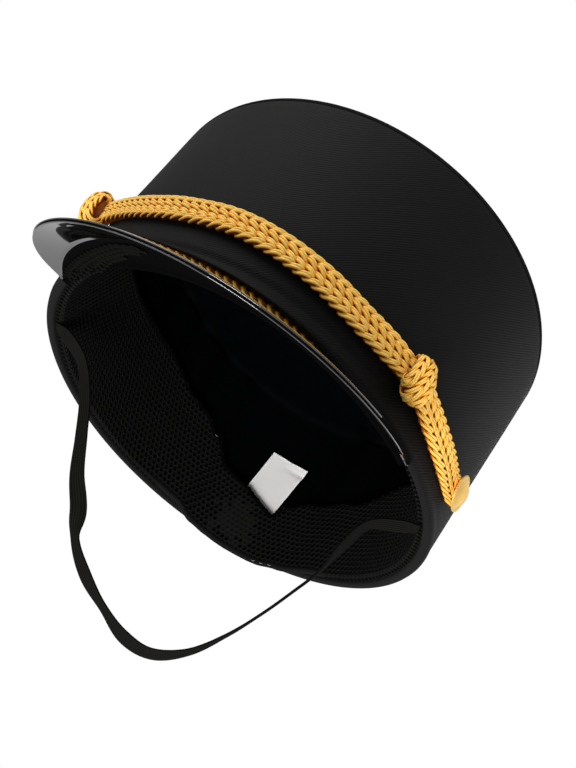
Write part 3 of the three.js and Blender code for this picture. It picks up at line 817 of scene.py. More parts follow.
class Maker:
    """One Geometry Nodes tree that repeats a small mesh, run once on points to give a plain piece."""

    def __init__(self, name, unit_mesh, finish, inputs):
        self.name = name
        self.one = bpy.data.objects.new(unit_mesh.name + "_one", unit_mesh)
        scene.collection.objects.link(self.one)
        self.tree = bpy.data.node_groups.new(name, "GeometryNodeTree")
        self.tree.interface.new_socket("Host", in_out="INPUT", socket_type="NodeSocketGeometry")
        self.settings = {}
        inputs = {"Unit": ("Object", self.one), "Finish": ("Material", finish), **inputs}
        for label, (kind, value) in inputs.items():
            socket = self.tree.interface.new_socket(label, in_out="INPUT", socket_type="NodeSocket" + kind)
            self.settings[socket.identifier] = value
        self.tree.interface.new_socket("Result", in_out="OUTPUT", socket_type="NodeSocketGeometry")
        self.inputs = self.tree.nodes.new("NodeGroupInput").outputs
        self.node = Shade(self.tree).node

    def given(self, label):
        """One of the tree's inputs."""
        return Shade(self.tree, self.inputs[label])

    def layer(self, name):
        """Vector kept on the host's points under a name."""
        return self.node("GeometryNodeInputNamedAttribute", {"data_type": "FLOAT_VECTOR"}, {"Name": name})

    def vector(self, operation, sockets):
        return self.node("ShaderNodeVectorMath", {"operation": operation}, sockets)

    def instances(self, points, euler, size):
        """The small mesh on points, each copy turned and sized."""
        shape = self.node("GeometryNodeObjectInfo", {}, {"Object": self.given("Unit")}, "Geometry")
        rotation = self.node("FunctionNodeEulerToRotation", {}, {"Euler": euler})
        return self.node("GeometryNodeInstanceOnPoints", {}, {
            "Points": points, "Instance": shape, "Rotation": rotation, "Scale": size})

    def run(self, geometry, points, edges, layers):
        """Ends the tree, runs it on points in millimetres that carry named layers, and links the piece."""
        real = self.node("GeometryNodeRealizeInstances", {}, {"Geometry": geometry})
        dressed = self.node("GeometryNodeSetMaterial", {}, {
            "Geometry": real, "Material": self.given("Finish")})
        result = self.tree.nodes.new("NodeGroupOutput")
        self.tree.links.new(dressed.socket, result.inputs["Result"])
        host_mesh = bpy.data.meshes.new(self.name + "_host")
        host_mesh.from_pydata((np.asarray(points) * MM).tolist(), edges, [])
        for name, values in layers.items():
            layer = host_mesh.attributes.new(name, "FLOAT_VECTOR", "POINT")
            layer.data.foreach_set("vector", np.asarray(values, dtype=np.float32).ravel())
        host = bpy.data.objects.new(self.name + "_host", host_mesh)
        scene.collection.objects.link(host)
        modifier = host.modifiers.new(self.name, "NODES")
        modifier.node_group = self.tree
        for identifier, value in self.settings.items():
            modifier[identifier] = value
        mesh = bpy.data.meshes.new_from_object(host.evaluated_get(bpy.context.evaluated_depsgraph_get()))
        host.modifiers.remove(modifier)
        bpy.data.objects.remove(host)
        bpy.data.objects.remove(self.one)
        for name in layers:
            if name in mesh.attributes:
                mesh.attributes.remove(mesh.attributes[name])
        piece = bpy.data.objects.new(self.name, mesh)
        scene.collection.objects.link(piece)
        return piece


def copies(name, places, turns, unit_mesh, finish, size=1.0):
    """Copies of a small mesh on places, each turned its own way, as a single plain mesh."""
    maker = Maker(name, unit_mesh, finish, {"Size": ("Float", size)})
    instances = maker.instances(maker.given("Host"), maker.layer("turn"), maker.given("Size"))
    return maker.run(instances, places, [], {"turn": turns})


def small_mesh(name, grid):
    """Mesh to be repeated, from a grid in millimetres that closes round its columns."""
    points, faces, _ = grid_faces(grid, np.zeros((len(grid), grid.shape[1] + 1, 2)), False, True)
    mesh = bpy.data.meshes.new(name)
    mesh.from_pydata((points * MM).tolist(), [], faces)
    mesh.shade_smooth()
    return mesh


def mesh_cell(name, hole_share):
    """One hexagon of knitted cloth with a hole through its middle."""
    rings = [(1.0, MESH_RELIEF), (hole_share + 0.12, MESH_RELIEF), (hole_share, 0.0), (hole_share, -0.5)]
    hexagon = np.arange(6) * np.pi / 3 + np.pi / 6
    around = np.stack([np.cos(hexagon), np.sin(hexagon), 0 * hexagon], axis=-1) * MESH_PITCH / math.sqrt(3)
    return small_mesh(name, np.stack([around * share + (0.0, 0.0, height) for share, height in rings]))


columns = round(BAND_GIRTH / MESH_PITCH)
row_pitch = MESH_PITCH * math.sqrt(3) / 2
rng = np.random.default_rng(11)
open_cells, felted_cells = ([], []), ([], [])
for shift in (0.0, 0.5):
    column_angles = (np.arange(columns) + shift) * 2 * np.pi / columns
    outline = band_outline(column_angles, 0.2)
    beside = unit(band_outline(column_angles + 0.004, 0.2) - outline)
    for column in range(columns):
        line = outline[column]
        run = run_length(line)
        steps = np.arange(row_pitch * (0.4 + 2 * shift), run[-1] - 0.2, 2 * row_pitch)
        hidden = FOOT_FOLD_SPAN[0] + 6 < math.degrees(column_angles[column]) < FOOT_FOLD_SPAN[1] - 6
        for at in steps[steps > 2.2 * hidden]:
            here = at_length(at, run, line)
            ahead = at_length(min(at + 0.6, run[-1]), run, line)
            before = at_length(max(at - 0.6, 0), run, line)
            k = min(np.searchsorted(run, at), len(run) - 1)
            side = beside[column, k]
            normal = unit(np.cross(side, ahead - before))
            side = unit(np.cross(ahead - before, normal))
            spread = math.hypot((math.degrees(column_angles[column]) - FELT_MIDDLE[0]) / FELT_REACH[0],
                                (here[2] - FELT_MIDDLE[1]) / FELT_REACH[1])
            cells = felted_cells if rng.uniform(0.4, 1.2) > spread else open_cells
            cells[0].append(here)
            cells[1].append(turned(-side, normal))
turned_cells = ([], [])


def under_peak(at, back_from_outer):
    """Place on the peak's underside, measured back from the turned-out mesh's outer edge."""
    line = np.stack([at_length(at, station_share, row) for row in lower])
    run = run_length(line)
    reached = min(np.interp(at, TURN_OUT[:, 0], TURN_OUT[:, 2]), run[-1]) - back_from_outer
    return at_length(reached, run, line), reached


turn_out_pitch = MESH_PITCH * TURN_OUT_SIZE / PEAK_HALF_GIRTH
for at in np.arange(TURN_OUT[0, 0], TURN_OUT[-1, 0], turn_out_pitch):
    for row in range(TURN_OUT_ROWS):
        along = at + (row % 2) * turn_out_pitch / 2
        back_off = row * row_pitch * TURN_OUT_SIZE
        here, reached = under_peak(along, back_off)
        if reached < np.interp(along, TURN_OUT[:, 0], TURN_OUT[:, 1]):
            continue
        beside = under_peak(along + 0.01, back_off)[0] - here
        normal = unit(np.cross(beside, under_peak(along, back_off + 0.5)[0] - here))
        normal = normal * np.sign(normal @ down)
        turned_cells[0].append(here + normal * 0.3)
        turned_cells[1].append(turned(unit(beside), normal))
air_mesh = copies("sweatband_air_mesh", *open_cells, mesh_cell("mesh_hole", MESH_HOLE_SHARE), mesh_finish)
felted_cell = mesh_cell("felted_hole", FELTED_HOLE_SHARE)
felted = copies("sweatband_felted_end", *felted_cells, felted_cell, mesh_finish)
# Painted shade: the strip turned out under the peak takes a darker, slightly warmer copy of the band's mesh
# colour, the warmth being painted reflected light.
turn_out_shade_finish = fibre_finish(
    "band_turn_out", 0.03, object_place, (900.0, 4.0), ((0.0018, 0.0018, 0.0016), (0.0056, 0.0055, 0.0048)),
    (0.15, 0.75), (0.5, 0.0001))
turn_out_cell = mesh_cell("turn_out_hole", TURN_OUT_HOLE_SHARE)
turn_out = copies("sweatband_turn_out", *turned_cells, turn_out_cell, turn_out_shade_finish, TURN_OUT_SIZE)

tape_angles = angles_around(HEAD_FOLD_STEPS)
head = band_edges(tape_angles)[1]
leaned = BAND_FACE_INSET + BAND_TOP_LEAN
grid = wall_rows(tape_angles, [(head + above, leaned + inwards) for above, inwards in HEAD_FOLD])
uv = lay_uv(np.append(tape_angles, 2 * np.pi) * MEAN_RADIUS, np.arange(len(HEAD_FOLD) + 1) * 0.8)
points, faces, corners = grid_faces(grid, uv, True, True)
head_tape = new_piece("sweatband_head_fold", points, faces, corners, facing_finish)

first, last = np.radians(FOOT_FOLD_SPAN)
fold_angles = np.linspace(first, last, FOOT_FOLD_STEPS + 1)
foot = band_edges(fold_angles)[0]
to_end = np.minimum(fold_angles - first, last - fold_angles) / FOOT_FOLD_TAPER
girth = 1.0 + (FOOT_FOLD_RADIUS - 1.0) * np.clip(to_end, 0, 1)
grid = wall_rows(fold_angles, [
    (foot + FOOT_FOLD_MIDDLE + girth * math.sin(turn),
     BAND_FACE_INSET - FOOT_FOLD_MIDDLE + girth * math.cos(turn))
    for turn in angles_around(FOOT_FOLD_SIDES)])
uv = lay_uv(fold_angles * MEAN_RADIUS, np.arange(FOOT_FOLD_SIDES + 1) * 0.6)
points, faces, corners = capped(grid, uv)
foot_fold = new_piece("sweatband_foot_fold", points, faces, corners, mesh_finish)

around = np.arange(6) * np.pi / 3
grid = np.stack([
    np.stack([0 * around + TACK_LENGTH / 2 * x, TACK_RADIUS * np.cos(around),
              TACK_RADIUS * np.sin(around) + 0.35 - 0.5 * x * x], axis=-1)
    for x in np.linspace(-1, 1, 7)])
tack_mesh = small_mesh("tack", grid)
places, turns = [], []
for degrees, height, inset in TACKS:
    spot, beside = wall(np.radians([degrees, degrees + 0.5]), height, inset)
    along = beside - spot
    places.append(spot)
    turns.append(turned(unit(along), unit(np.cross(along, np.cross(TACK_OUT, along)))))
thread_finish = fibre_finish(
    "tack_thread", 0.3, object_place, (2500.0, 2.0), ((0.14, 0.135, 0.13), (0.32, 0.31, 0.3)), (0.2, 0.5))
tacks = copies("sweatband_tacks", places, turns, tack_mesh, thread_finish)
for piece in (pad, air_mesh, felted, turn_out, head_tape, foot_fold, tacks):
    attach(piece, "root")
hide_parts("sweatband")


# Lining: thin blue-black satin, gathered into upright folds round the wall and drawn flat under the
# top panel. Its lower edge is tucked behind the sweatband.
LINING_THICKNESS = 0.5
LINING_INSET = 2.6
LINING_TUCK = 9.0
LINING_FOLDS = 24
LINING_FOLD_DEPTH = 3.4
LABEL_MID_ANGLE = math.radians(178)
LINING_STEPS = 480


def gather(angle):
    """Depth of the lining's folds: uneven, and none behind the label."""
    wave = (0.5 - 0.5 * np.cos(LINING_FOLDS * angle + 0.5 * np.sin(3 * angle))) ** 1.3
    uneven = 0.72 + 0.2 * np.sin(5 * angle + 0.7) + 0.08 * np.sin(17 * angle)
    from_label = np.abs(np.arctan2(np.sin(angle - LABEL_MID_ANGLE), np.cos(angle - LABEL_MID_ANGLE)))
    clear = np.clip((from_label - 0.16) / 0.12, 0, 1)
    return LINING_FOLD_DEPTH * wave * uneven * clear * clear * (3 - 2 * clear)


lining_angles = angles_around(LINING_STEPS)
folds = gather(lining_angles)
band_head = band_edges(lining_angles)[1]
top = top_edge(lining_angles)
under_panel = TOP_PANEL_THICKNESS + GAP + 0.5


def lining_loops(thick):
    """Loops of the lining's outer or inner face, from its lower edge to the middle of the ceiling."""
    loops = []
    high = top[:, 2] - under_panel - 3
    for share in np.linspace(0, 1, 22):
        fold = np.interp(share, [0, 0.28, 0.6, 1.0], [0.3, 0.62, 1.0, 1.15])
        height = band_head - LINING_TUCK + (high - band_head + LINING_TUCK) * share
        loops.append(wall(lining_angles, height, LINING_INSET + thick + fold * folds))
    for inwards in (4, 9, 16, 26, 38, 52, 66, 80):
        fold = np.interp(inwards, [4, 12, 50, 80], [1.15, 0.9, 0.3, 0.05])
        loop = top - outward(lining_angles) * inwards
        loop[:, 2] = TOP_MID_HEIGHT - TOP_FALL_TO_BACK * loop[:, 1] - under_panel - thick - fold * folds
        loops.append(loop)
    return loops


grid = np.stack(lining_loops(0.0)[::-1] + lining_loops(LINING_THICKNESS), axis=0)
uv = lay_uv(np.arange(len(grid)) * 4.0, np.append(lining_angles, 2 * np.pi) * MEAN_RADIUS)
points, faces, corners = capped(grid, uv)

satin_finish, root = new_finish("lining_satin", {"Specular IOR Level": 0.008})
_, v, place = along_across(root)
weave = (v * (2 * math.pi / 0.7)).wave()
slub = speckle(root, place, 0.2, 4.0)
feed(root, {
    "Base Color": slub.tint((0.0004, 0.00055, 0.0007), (0.0009, 0.0012, 0.0016)),
    "Roughness": slub * 0.15 + 0.5,
    "Bump": (weave * 0.4 + slub * 0.6, 0.3, 0.0001),
})
lining = new_piece("satin_lining", points, faces, corners, satin_finish)
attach(lining, "root")
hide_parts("lining")


# Size label: a small bare tag of white satin ribbon on the lining, its lower end tucked behind the
# sweatband's cut edge.
LABEL_INSET = 4.4
LABEL_THICKNESS = 0.35
LABEL_CREASE = 0.7
LABEL_CREASE_REACH = 0.05
LABEL_WIDTH = 22
LABEL_LENGTH = 33
LABEL_ROWS = 81
LABEL_COLUMNS = 31
LABEL_CORNERS = {
    # degrees, height
    "top_right": (183.5, 51.3),
    "top_left": (170.3, 50.0),
    "low_right": (185.6, 18.5),
    "low_left": (173.0, 16.5),
}
up, aside = np.moveaxis(lay_uv(np.linspace(0, 1, LABEL_ROWS), np.linspace(0, 1, LABEL_COLUMNS)), -1, 0)
low = [(1 - aside) * LABEL_CORNERS["low_left"][k] + aside * LABEL_CORNERS["low_right"][k] for k in (0, 1)]
high = [(1 - aside) * LABEL_CORNERS["top_left"][k] + aside * LABEL_CORNERS["top_right"][k] for k in (0, 1)]
label_angle = np.radians((1 - up) * low[0] + up * high[0])
label_height = (1 - up) * low[1] + up * high[1]
curl = 1.6 * np.clip(up + (1 - aside) - 1.45, 0, 1) ** 1.5 + 0.25 * np.sin(3 * up + 2 * aside)
crease = np.exp(-((up - 0.89) / LABEL_CREASE_REACH) ** 2) * np.clip(1 - aside / 0.65, 0, 1)
curl -= LABEL_CREASE * crease
label_front = wall(label_angle, label_height, LABEL_INSET + 0.3 + LABEL_THICKNESS + curl)
label_back = wall(label_angle, label_height, LABEL_INSET + 0.3 + curl)
grid = np.concatenate([label_front, label_back[:, ::-1]], axis=1)
width = np.concatenate([aside[0] * LABEL_WIDTH, aside[0][::-1] * LABEL_WIDTH, [0]])
uv = lay_uv(np.linspace(0, LABEL_LENGTH, LABEL_ROWS), width)
points, faces, corners = capped(grid, uv)

label_finish, root = new_finish("label_satin", {"Sheen Weight": 0.2, "Specular IOR Level": 0.4})
u, v, place = along_across(root)
ribbon = (v * (2 * math.pi / 0.45)).wave()
fibre = speckle(root, place, 1.2, 4.0)
soft = speckle(root, place, 0.08, 2.0)
# Painted highlight: the selvedges and the top fold are coloured paler where their raised edges catch the
# light; the same mask also raises them in the bump.
selvedge_and_highlight = 1 - v.step(0.4, 1.1) + v.step(20.9, 21.6) + u.step(31.9, 32.6)
paleness = fibre * 0.3 + soft * 0.25 + selvedge_and_highlight * 0.45
feed(root, {
    "Base Color": paleness.tint((0.74, 0.72, 0.705), (1.0, 0.99, 0.98)),
    "Roughness": fibre * 0.15 + 0.45,
    "Bump": (ribbon * 0.4 + fibre * 0.3 + selvedge_and_highlight * 0.3, 0.5, 0.00015),
})
label = new_piece("bare_size_label", points, faces, corners, label_finish)
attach(label, "root")
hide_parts("size_label")


# Braid: gold rayon cord worked as two chain rows side by side over a core whose dark brown colour is
# painted shade, held at its ends by the buttons and standing a little off the cloth near the knots.
# Each link is a pair of slanting arms that meet in a V, and every arm is two yarns lying together.
BRAID_LINK_PITCH = 4.15
BRAID_ROW_OFFSET = 3.05
BRAID_SAG = 0.9
BRAID_YARN_RADIUS = 0.62
BRAID_YARN_APART = 0.52
BRAID_FULL_HALF_WIDTH = 6.4
BRAID_FULL_THICKNESS = 4.6
BRAID_RUN_ON = 9.0
BRAID_STEPS = 600
BRAID_CORE_CLEAR = 0.8
BRAID_ROUTE = np.array([
    # degrees, height, lift, half width, thickness, tilt of the face downwards
    (-72.8, 23.4, 0.4, 6.2, 3.2, 0.0),
    (-67.0, 29.0, 0.6, 6.0, 4.2, 0.0),
    (-58.5, 33.4, 2.4, 5.4, 4.2, 0.1),
    (-48.0, 32.2, 1.8, 5.1, 3.4, 0.15),
    (-34.0, 28.9, 0.9, 5.7, 3.8, 0.1),
    (-24.0, 28.3, 0.5, 6.2, 4.3, 0.05),
    (-10.0, 28.4, 0.4, 6.4, 4.6, 0.0),
    (2.0, 26.9, 0.4, 6.4, 4.6, 0.0),
    (14.0, 24.4, 0.4, 6.4, 4.6, 0.0),
    (26.0, 21.6, 0.4, 6.4, 4.6, 0.0),
    (34.0, 21.0, 0.8, 6.4, 4.6, 0.0),
    (42.2, 19.6, 2.2, 5.2, 4.4, 0.0),
    (51.0, 17.2, 0.8, 6.4, 4.6, 0.0),
    (62.0, 14.9, 0.4, 6.4, 4.6, 0.0),
    (72.8, 15.5, 0.4, 6.2, 3.2, 0.0),
])
BRAID_ARM = np.array([
    # along, across, out
    (-3.2, 1.5, 0.1),
    (-3.0, 2.1, 0.9),
    (-2.0, 2.2, 2.0),
    (-0.3, 1.75, 3.0),
    (1.5, 1.1, 3.3),
    (2.9, 0.6, 2.6),
    (3.8, 0.4, 1.3),
])


def wall_normal(angle):
    lean = unit(top_edge(angle) - rim_edge(angle))
    normal = outward(angle)
    return unit(normal - lean * np.sum(normal * lean, axis=-1, keepdims=True))


route_angles = np.radians(BRAID_ROUTE[:, 0])
stations = wall(route_angles, BRAID_ROUTE[:, 1] - BRAID_SAG)
stations = stations + wall_normal(route_angles) * BRAID_ROUTE[:, 2:3]
braid_path, _, braid_lengths = spline(stations, stations, BRAID_STEPS)
braid_angles = np.arctan2(braid_path[:, 0] / RIM_HALF_WIDTH, -braid_path[:, 1] / RIM_HALF_LENGTH)
braid_lift, braid_half, braid_thick, braid_tilt = (
    rows_value(BRAID_ROUTE[:, 0], column, np.degrees(braid_angles)) for column in BRAID_ROUTE.T[2:])
braid_facing = wall_normal(braid_angles) - braid_tilt[:, None] * (0.0, 0.0, 1.0)
braid_along, braid_across, braid_out = path_frames(braid_path, braid_facing)


def tube(path, radius, sides, facing):
    """Round yarn along a path: a grid of rings, with lengths along it and round it."""
    along, across, out = path_frames(path, facing)
    turn = angles_around(sides)
    radius = np.broadcast_to(radius, len(path))[:, None, None]
    ring = across[:, None] * np.cos(turn)[:, None] + out[:, None] * np.sin(turn)[:, None]
    return path[:, None] + ring * radius, lay_uv(run_length(path), np.linspace(0, 4, sides + 1))


gold_finish, root = new_finish("braid_gold", {
    "Sheen Weight": 0.1, "Sheen Roughness": 0.35, "Sheen Tint": (1.0, 0.62, 0.18, 1.0),
    "Specular IOR Level": 0.4, "Specular Tint": (1.0, 0.62, 0.14, 1.0)})
u, v, place = along_across(root)
ply = ((u * 0.9 + v) * (2 * math.pi / 0.5)).wave()
fibre = speckle(root, place, 1.5, 4.0)
tone = speckle(root, object_place(root), 90.0, 3.0)
# Painted shade: each yarn is coloured lighter on its outer side and darker round its sides and underneath,
# and the arms darken towards their ends where they run deep into the braid, furthest on the groove side
# between the two rows; the ramp's darkest stops are these shaded tones.
painted_yarn_shading = (v * (math.pi / 2)).wave() ** 1.5
groove_side = v.step(5.0, 7.0)
clear_of_painted_shade = u.step(groove_side * 1.4 + 0.4, groove_side * 2.0 + 3.0) * (9.6 - u).step(0.2, 2.6)
shade = (painted_yarn_shading * 0.6 + ply * 0.14 + fibre * 0.14 + tone * 0.12) * (clear_of_painted_shade * 0.66 + 0.34)
gold_stops = [
    (0.08, (0.21, 0.031, 0.0002)),
    (0.3, (0.66, 0.18, 0.003)),
    (0.51, (1.0, 0.46, 0.035)),
    (0.8, (1.0, 0.68, 0.17)),
]
feed(root, {
    "Base Color": root.node("ShaderNodeValToRGB", {"stops": gold_stops}, {"Fac": shade}),
    "Roughness": fibre * 0.2 + 0.36,
    "Bump": (ply * 0.6 + fibre * 0.4, 0.5, 0.00012),
})

points, faces, corners = np.zeros((0, 3)), [], []
for side in (1, -1):
    spine, _, _ = spline(BRAID_ARM * (1, side, 1), BRAID_ARM * (1, side, 1), 11)
    along, across, out = path_frames(spine, np.array([0.0, 0.0, 1.0]) + 0 * spine)
    taper = BRAID_YARN_RADIUS * (0.7 + 0.3 * np.sin(np.linspace(0.1, 0.95, 12) * np.pi) ** 0.5)
    twist = np.linspace(-0.5, 0.5, 12)[:, None] * side
    apart = (across * np.cos(twist) + out * np.sin(twist)) * BRAID_YARN_APART
    for hand in (1, -1):
        yarn, uv = tube(spine + apart * hand, taper, 7, out)
        more, more_faces, more_corners = capped(yarn, uv + (0, 4 - 4 * side))
        faces += [[len(points) + k for k in face] for face in more_faces]
        points = np.vstack([points, more])
        corners += more_corners
link_piece = new_piece("braid_link", points, faces, corners, gold_finish)
link_mesh = link_piece.data
bpy.data.objects.remove(link_piece)


def worked_chain(name, path, facing, girth, pitch, offset, turn, seed):
    """Chain of links along a path in millimetres, bent to it.

    Girth gives each point's share of a link's width and thickness; turn sets which way the Vs point."""
    stretch = pitch / BRAID_LINK_PITCH
    start = -BRAID_ARM[0, 0] * stretch + 0.3
    count = int((run_length(path)[-1] - 2 * start) / pitch) + 1
    maker = Maker(name, link_mesh, gold_finish, {
        "Pitch": ("Float", pitch * MM), "Count": ("Int", count), "Start": ("Float", start * MM),
        "Offset": ("Float", offset * MM), "Turn": ("Float", turn), "Stretch": ("Float", stretch),
        "Seed": ("Int", seed)})
    node, given = maker.node, maker.given
    step = node("ShaderNodeCombineXYZ", {}, {"X": given("Pitch")})
    first = node("ShaderNodeCombineXYZ", {}, {"X": given("Start")})
    line = node("GeometryNodeMeshLine", {}, {
        "Count": given("Count"), "Start Location": first, "Offset": step})
    sway = node("FunctionNodeRandomValue", {"data_type": "FLOAT"}, {
        2: -0.05, 3: 0.05, "Seed": given("Seed")}, 1)
    euler = node("ShaderNodeCombineXYZ", {}, {"Z": given("Turn") + sway})
    size = node("ShaderNodeCombineXYZ", {}, {"X": given("Stretch"), "Y": 1.0, "Z": 1.0})
    links = maker.instances(line, euler, size)
    straight = node("GeometryNodeRealizeInstances", {}, {"Geometry": links})
    place = node("ShaderNodeSeparateXYZ", {}, {0: node("GeometryNodeInputPosition", {}, {})})
    curve = node("GeometryNodeMeshToCurve", {}, {"Mesh": given("Host")})
    sampling = {"mode": "LENGTH", "data_type": "FLOAT_VECTOR"}
    faced, sized = (
        node("GeometryNodeSampleCurve", sampling, {
            "Curves": curve, "Value": maker.layer(layer), "Length": place}, "Value")
        for layer in ("facing", "girth"))
    ahead = faced.output("Tangent")
    aside = maker.vector("NORMALIZE", {0: maker.vector("CROSS_PRODUCT", {0: ahead, 1: faced})})
    outwards = maker.vector("CROSS_PRODUCT", {0: aside, 1: ahead})
    girths = node("ShaderNodeSeparateXYZ", {}, {0: sized})
    wide = (place.output("Y") + given("Offset")) * girths
    high = place.output("Z") * girths.output("Y")
    moved = faced.output("Position")
    for direction, amount in ((aside, wide), (outwards, high)):
        moved = maker.vector("ADD", {0: moved, 1: maker.vector("SCALE", {0: direction, "Scale": amount})})
    bent = node("GeometryNodeSetPosition", {}, {"Geometry": straight, "Position": moved})
    edges = [(i, i + 1) for i in range(len(path) - 1)]
    return maker.run(bent, path, edges, {"facing": facing, "girth": girth})


ends = [braid_path[0] - braid_along[0] * BRAID_RUN_ON, braid_path[-1] + braid_along[-1] * BRAID_RUN_ON]
long_path = np.vstack([ends[0], braid_path, ends[1]])
long_facing = np.vstack([braid_out[0], braid_out, braid_out[-1]])
girth = [braid_half / BRAID_FULL_HALF_WIDTH, braid_thick / BRAID_FULL_THICKNESS, 0 * braid_half]
girth = np.stack(girth, axis=1)
long_girth = np.vstack([girth[0], girth, girth[-1]])
braid_rows = [
    worked_chain(name, long_path, long_facing, long_girth, BRAID_LINK_PITCH, offset, turn, seed)
    for name, offset, turn, seed in (
        ("gold_braid_lower_row", BRAID_ROW_OFFSET, 0.0, 3),
        ("gold_braid_upper_row", -BRAID_ROW_OFFSET, math.pi, 5),
    )
]

core_outline = np.array([
    (-0.76, 0.1), (0.76, 0.1), (0.8, 0.26), (0.68, 0.46), (0.46, 0.54), (0.12, 0.2),
    (-0.12, 0.2), (-0.46, 0.54), (-0.68, 0.46), (-0.8, 0.26)])
keep = np.arange(0, BRAID_STEPS + 1, 4)
core_across = core_outline[:, 0] * braid_half[keep, None]
core_height = core_outline[:, 1] * braid_thick[keep, None]
core_height[:, :2] = BRAID_CORE_CLEAR - braid_lift[keep, None]
grid = (braid_path[keep, None] + braid_across[keep, None] * core_across[..., None]
        + braid_out[keep, None] * core_height[..., None])
uv = lay_uv(braid_lengths[keep], np.arange(len(core_outline) + 1) * 2.0)
points, faces, corners = capped(grid, uv)
# Painted shade: the core's dark brown stands in for the gold yarn in shadow, and its base reaches down near
# the cloth to fill the gaps under the rows with that shade.
core_shade_finish = fibre_finish(
    "braid_core", 0.2, own_place, (0.9, 4.0), ((0.14, 0.028, 0.0006), (0.34, 0.1, 0.004)),
    (0.2, 0.6), (0.4, 0.0002))
braid_core = new_piece("gold_braid_core", points, faces, corners, core_shade_finish)
for piece in (*braid_rows, braid_core):
    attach(piece, "root")
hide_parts("braid")


# Sliding knots: three close turns of the same chain-worked gold cord, wrapped slantwise round the
# braid on each side over a padded barrel whose dark brown colour is painted shade.
KNOT_LENGTH = 14.0
KNOT_HALF_WIDTH = 9.8
KNOT_HALF_THICKNESS = 6.1
KNOT_TURNS = 2.94
KNOT_LINK_PITCH = 3.4
KNOT_GIRTH = (0.72, 0.75)
KNOT_SLANT = 1.4
KNOT_START = 0.44
KNOT_STEPS = 360
BARREL_SHORTER = 4.0
BARREL_RINGS = 13
BARREL_SIDES = 32
KNOT_PLACES = {
    # degrees, lift off the cloth, drop
    "left": (42.6, 0.0, 1.6),
    "right": (-57.8, 0.7, 0.0),
}

for side, (degrees, knot_lift, knot_drop) in KNOT_PLACES.items():
    k = int(np.argmin(np.abs(np.degrees(braid_angles) - degrees)))
    base, angle = braid_path[k], braid_angles[k]
    along, across, lift = braid_along[k], braid_across[k], braid_out[k]
    stand_off = KNOT_HALF_THICKNESS + 2 * GAP + knot_lift - np.dot(base - wall(angle, base[2]), lift)
    middle = base + lift * stand_off - (0.0, 0.0, knot_drop)
    way = np.linspace(0, 1, KNOT_STEPS + 1)
    turn = np.pi * (2 * KNOT_TURNS * way - KNOT_START)
    swell = 0.5 + 0.5 * np.sin(np.pi * way) ** 0.6
    cord_height = (BRAID_ARM[:, 2].max() + BRAID_YARN_RADIUS) * KNOT_GIRTH[1]
    cord_half = (BRAID_ARM[:, 1].max() + BRAID_YARN_APART + BRAID_YARN_RADIUS) * KNOT_GIRTH[0]
    reach = (way - 0.5) * (KNOT_LENGTH - 2 * cord_half) + KNOT_SLANT * np.cos(turn + 0.5)
    wrap = (middle + along * reach[:, None]
            + across * ((KNOT_HALF_WIDTH * swell - cord_height) * np.cos(turn))[:, None]
            + lift * ((KNOT_HALF_THICKNESS * swell - cord_height) * np.sin(turn))[:, None])
    radial = unit(across * (np.cos(turn) / KNOT_HALF_WIDTH)[:, None]
                  + lift * (np.sin(turn) / KNOT_HALF_THICKNESS)[:, None])
    facing = unit(radial + along * (2 * way - 1)[:, None])
    knot_girth = np.broadcast_to((*KNOT_GIRTH, 0.0), (len(way), 3))
    knot = worked_chain("gold_knot_" + side, wrap, facing, knot_girth, KNOT_LINK_PITCH, 0.0, 0.0, 7)
    barrel = []
    around = angles_around(BARREL_SIDES)
    for reach in np.linspace(-1, 1, BARREL_RINGS):
        scale = 0.45 + 0.25 * math.sqrt(1 - abs(reach) ** 2.6)
        barrel.append(middle + along * reach * (KNOT_LENGTH / 2 - BARREL_SHORTER)
                      + across * (KNOT_HALF_WIDTH * scale * np.cos(around))[:, None]
                      + lift * (KNOT_HALF_THICKNESS * scale * np.sin(around))[:, None])
    uv = lay_uv(np.linspace(2, 8, BARREL_RINGS), np.arange(BARREL_SIDES + 1) * 0.125)
    points, faces, corners = capped(np.stack(barrel), uv)
    # Painted shade: the barrel takes the core's dark brown finish, standing in for the cord in shadow inside
    # the knot.
    knot_core = new_piece("gold_knot_core_" + side, points, faces, corners, core_shade_finish)
    for piece in (knot, knot_core):
        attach(piece, "root")
    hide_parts("knot_" + side)


# Side buttons: plain domed discs of gilt metal with a narrow milled rim, on a short shank through
# the cloth over the ends of the braid.
BUTTON_RADIUS = 7.5
BUTTON_SHANK_RADIUS = 1.6
BUTTON_STAND_OFF = 4.0
BUTTON_DOME = 2.4
BUTTON_NOTCHES = 40
BUTTON_NOTCH_DEPTH = 0.3
BUTTON_RIM = 0.45
BUTTON_SIDES = 240
BUTTON_PLACES = {"left": (74.5, 15.0), "right": (-74.5, 23.0)}

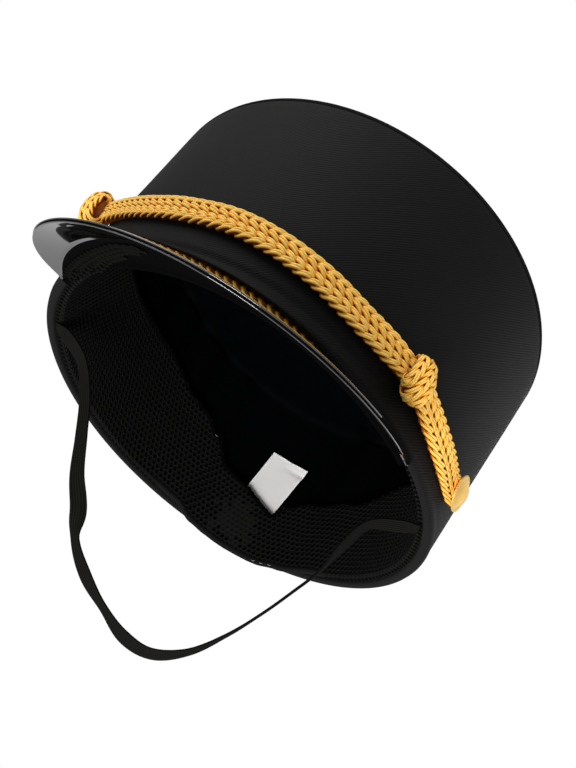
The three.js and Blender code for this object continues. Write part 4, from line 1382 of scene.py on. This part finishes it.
gilt_finish, root = new_finish("button_gilt", {"Metallic": 0.6})
place = object_place(root)
brushed = speckle(root, place, 500.0, 5.0)
tarnish = speckle(root, place, 120.0, 3.0)
feed(root, {
    "Base Color": (brushed * 0.3 + tarnish * 0.7).tint((0.74, 0.43, 0.09), (0.84, 0.57, 0.18)),
    "Roughness": brushed * 0.16 + 0.27,
    "Bump": (brushed, 0.15, 0.0001),
})
rim_height_off = BUTTON_STAND_OFF + 2 * BUTTON_RIM
rim_middle = (BUTTON_RADIUS - BUTTON_RIM, BUTTON_STAND_OFF + BUTTON_RIM)
profile = [(0.01, 0.0), (BUTTON_SHANK_RADIUS, 0.0), (BUTTON_SHANK_RADIUS, BUTTON_STAND_OFF)]
profile += [(BUTTON_RADIUS - BUTTON_RIM, BUTTON_STAND_OFF)]
for turn in np.linspace(-0.5, 0.5, 7) * np.pi:
    profile.append((rim_middle[0] + BUTTON_RIM * math.cos(turn), rim_middle[1] + BUTTON_RIM * math.sin(turn)))
profile += [(BUTTON_RADIUS - 0.75, rim_height_off - 0.08), (BUTTON_RADIUS - 1.0, rim_height_off - 0.2)]
for share in np.linspace(0.03, 1.0, 14):
    radius = (BUTTON_RADIUS - 1.1) * (1 - share)
    profile.append((max(radius, 0.01), rim_height_off - 0.15 + BUTTON_DOME * (1 - (1 - share) ** 2)))
turns_around = angles_around(BUTTON_SIDES)
milled = np.abs(np.sin(turns_around * BUTTON_NOTCHES / 2)) ** 0.6
for side, (degrees, height) in BUTTON_PLACES.items():
    angle = np.radians(degrees)
    normal = wall_normal(angle)
    seat = wall(angle, height) + normal * GAP
    aside = unit(np.cross(normal, (0.0, 0.0, 1.0)))
    upright = np.cross(aside, normal)
    spoke = aside * np.cos(turns_around)[:, None] + upright * np.sin(turns_around)[:, None]
    rings = []
    for radius, rise_off in profile:
        on_rim = radius > BUTTON_RADIUS - 2 * BUTTON_RIM and rise_off > BUTTON_STAND_OFF + 0.3
        notch = BUTTON_NOTCH_DEPTH * (milled - 1) * on_rim
        rings.append(seat + spoke * radius + normal * (rise_off + notch)[:, None])
    uv = lay_uv(np.arange(len(profile)) * 1.0, np.arange(BUTTON_SIDES + 1) * 0.2)
    points, faces, corners = capped(np.stack(rings)[:, ::-1], uv[:, ::-1])
    button = new_piece("gilt_button_" + side, points, faces, corners, gilt_finish)
    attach(button, "root")
    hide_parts("button_" + side)
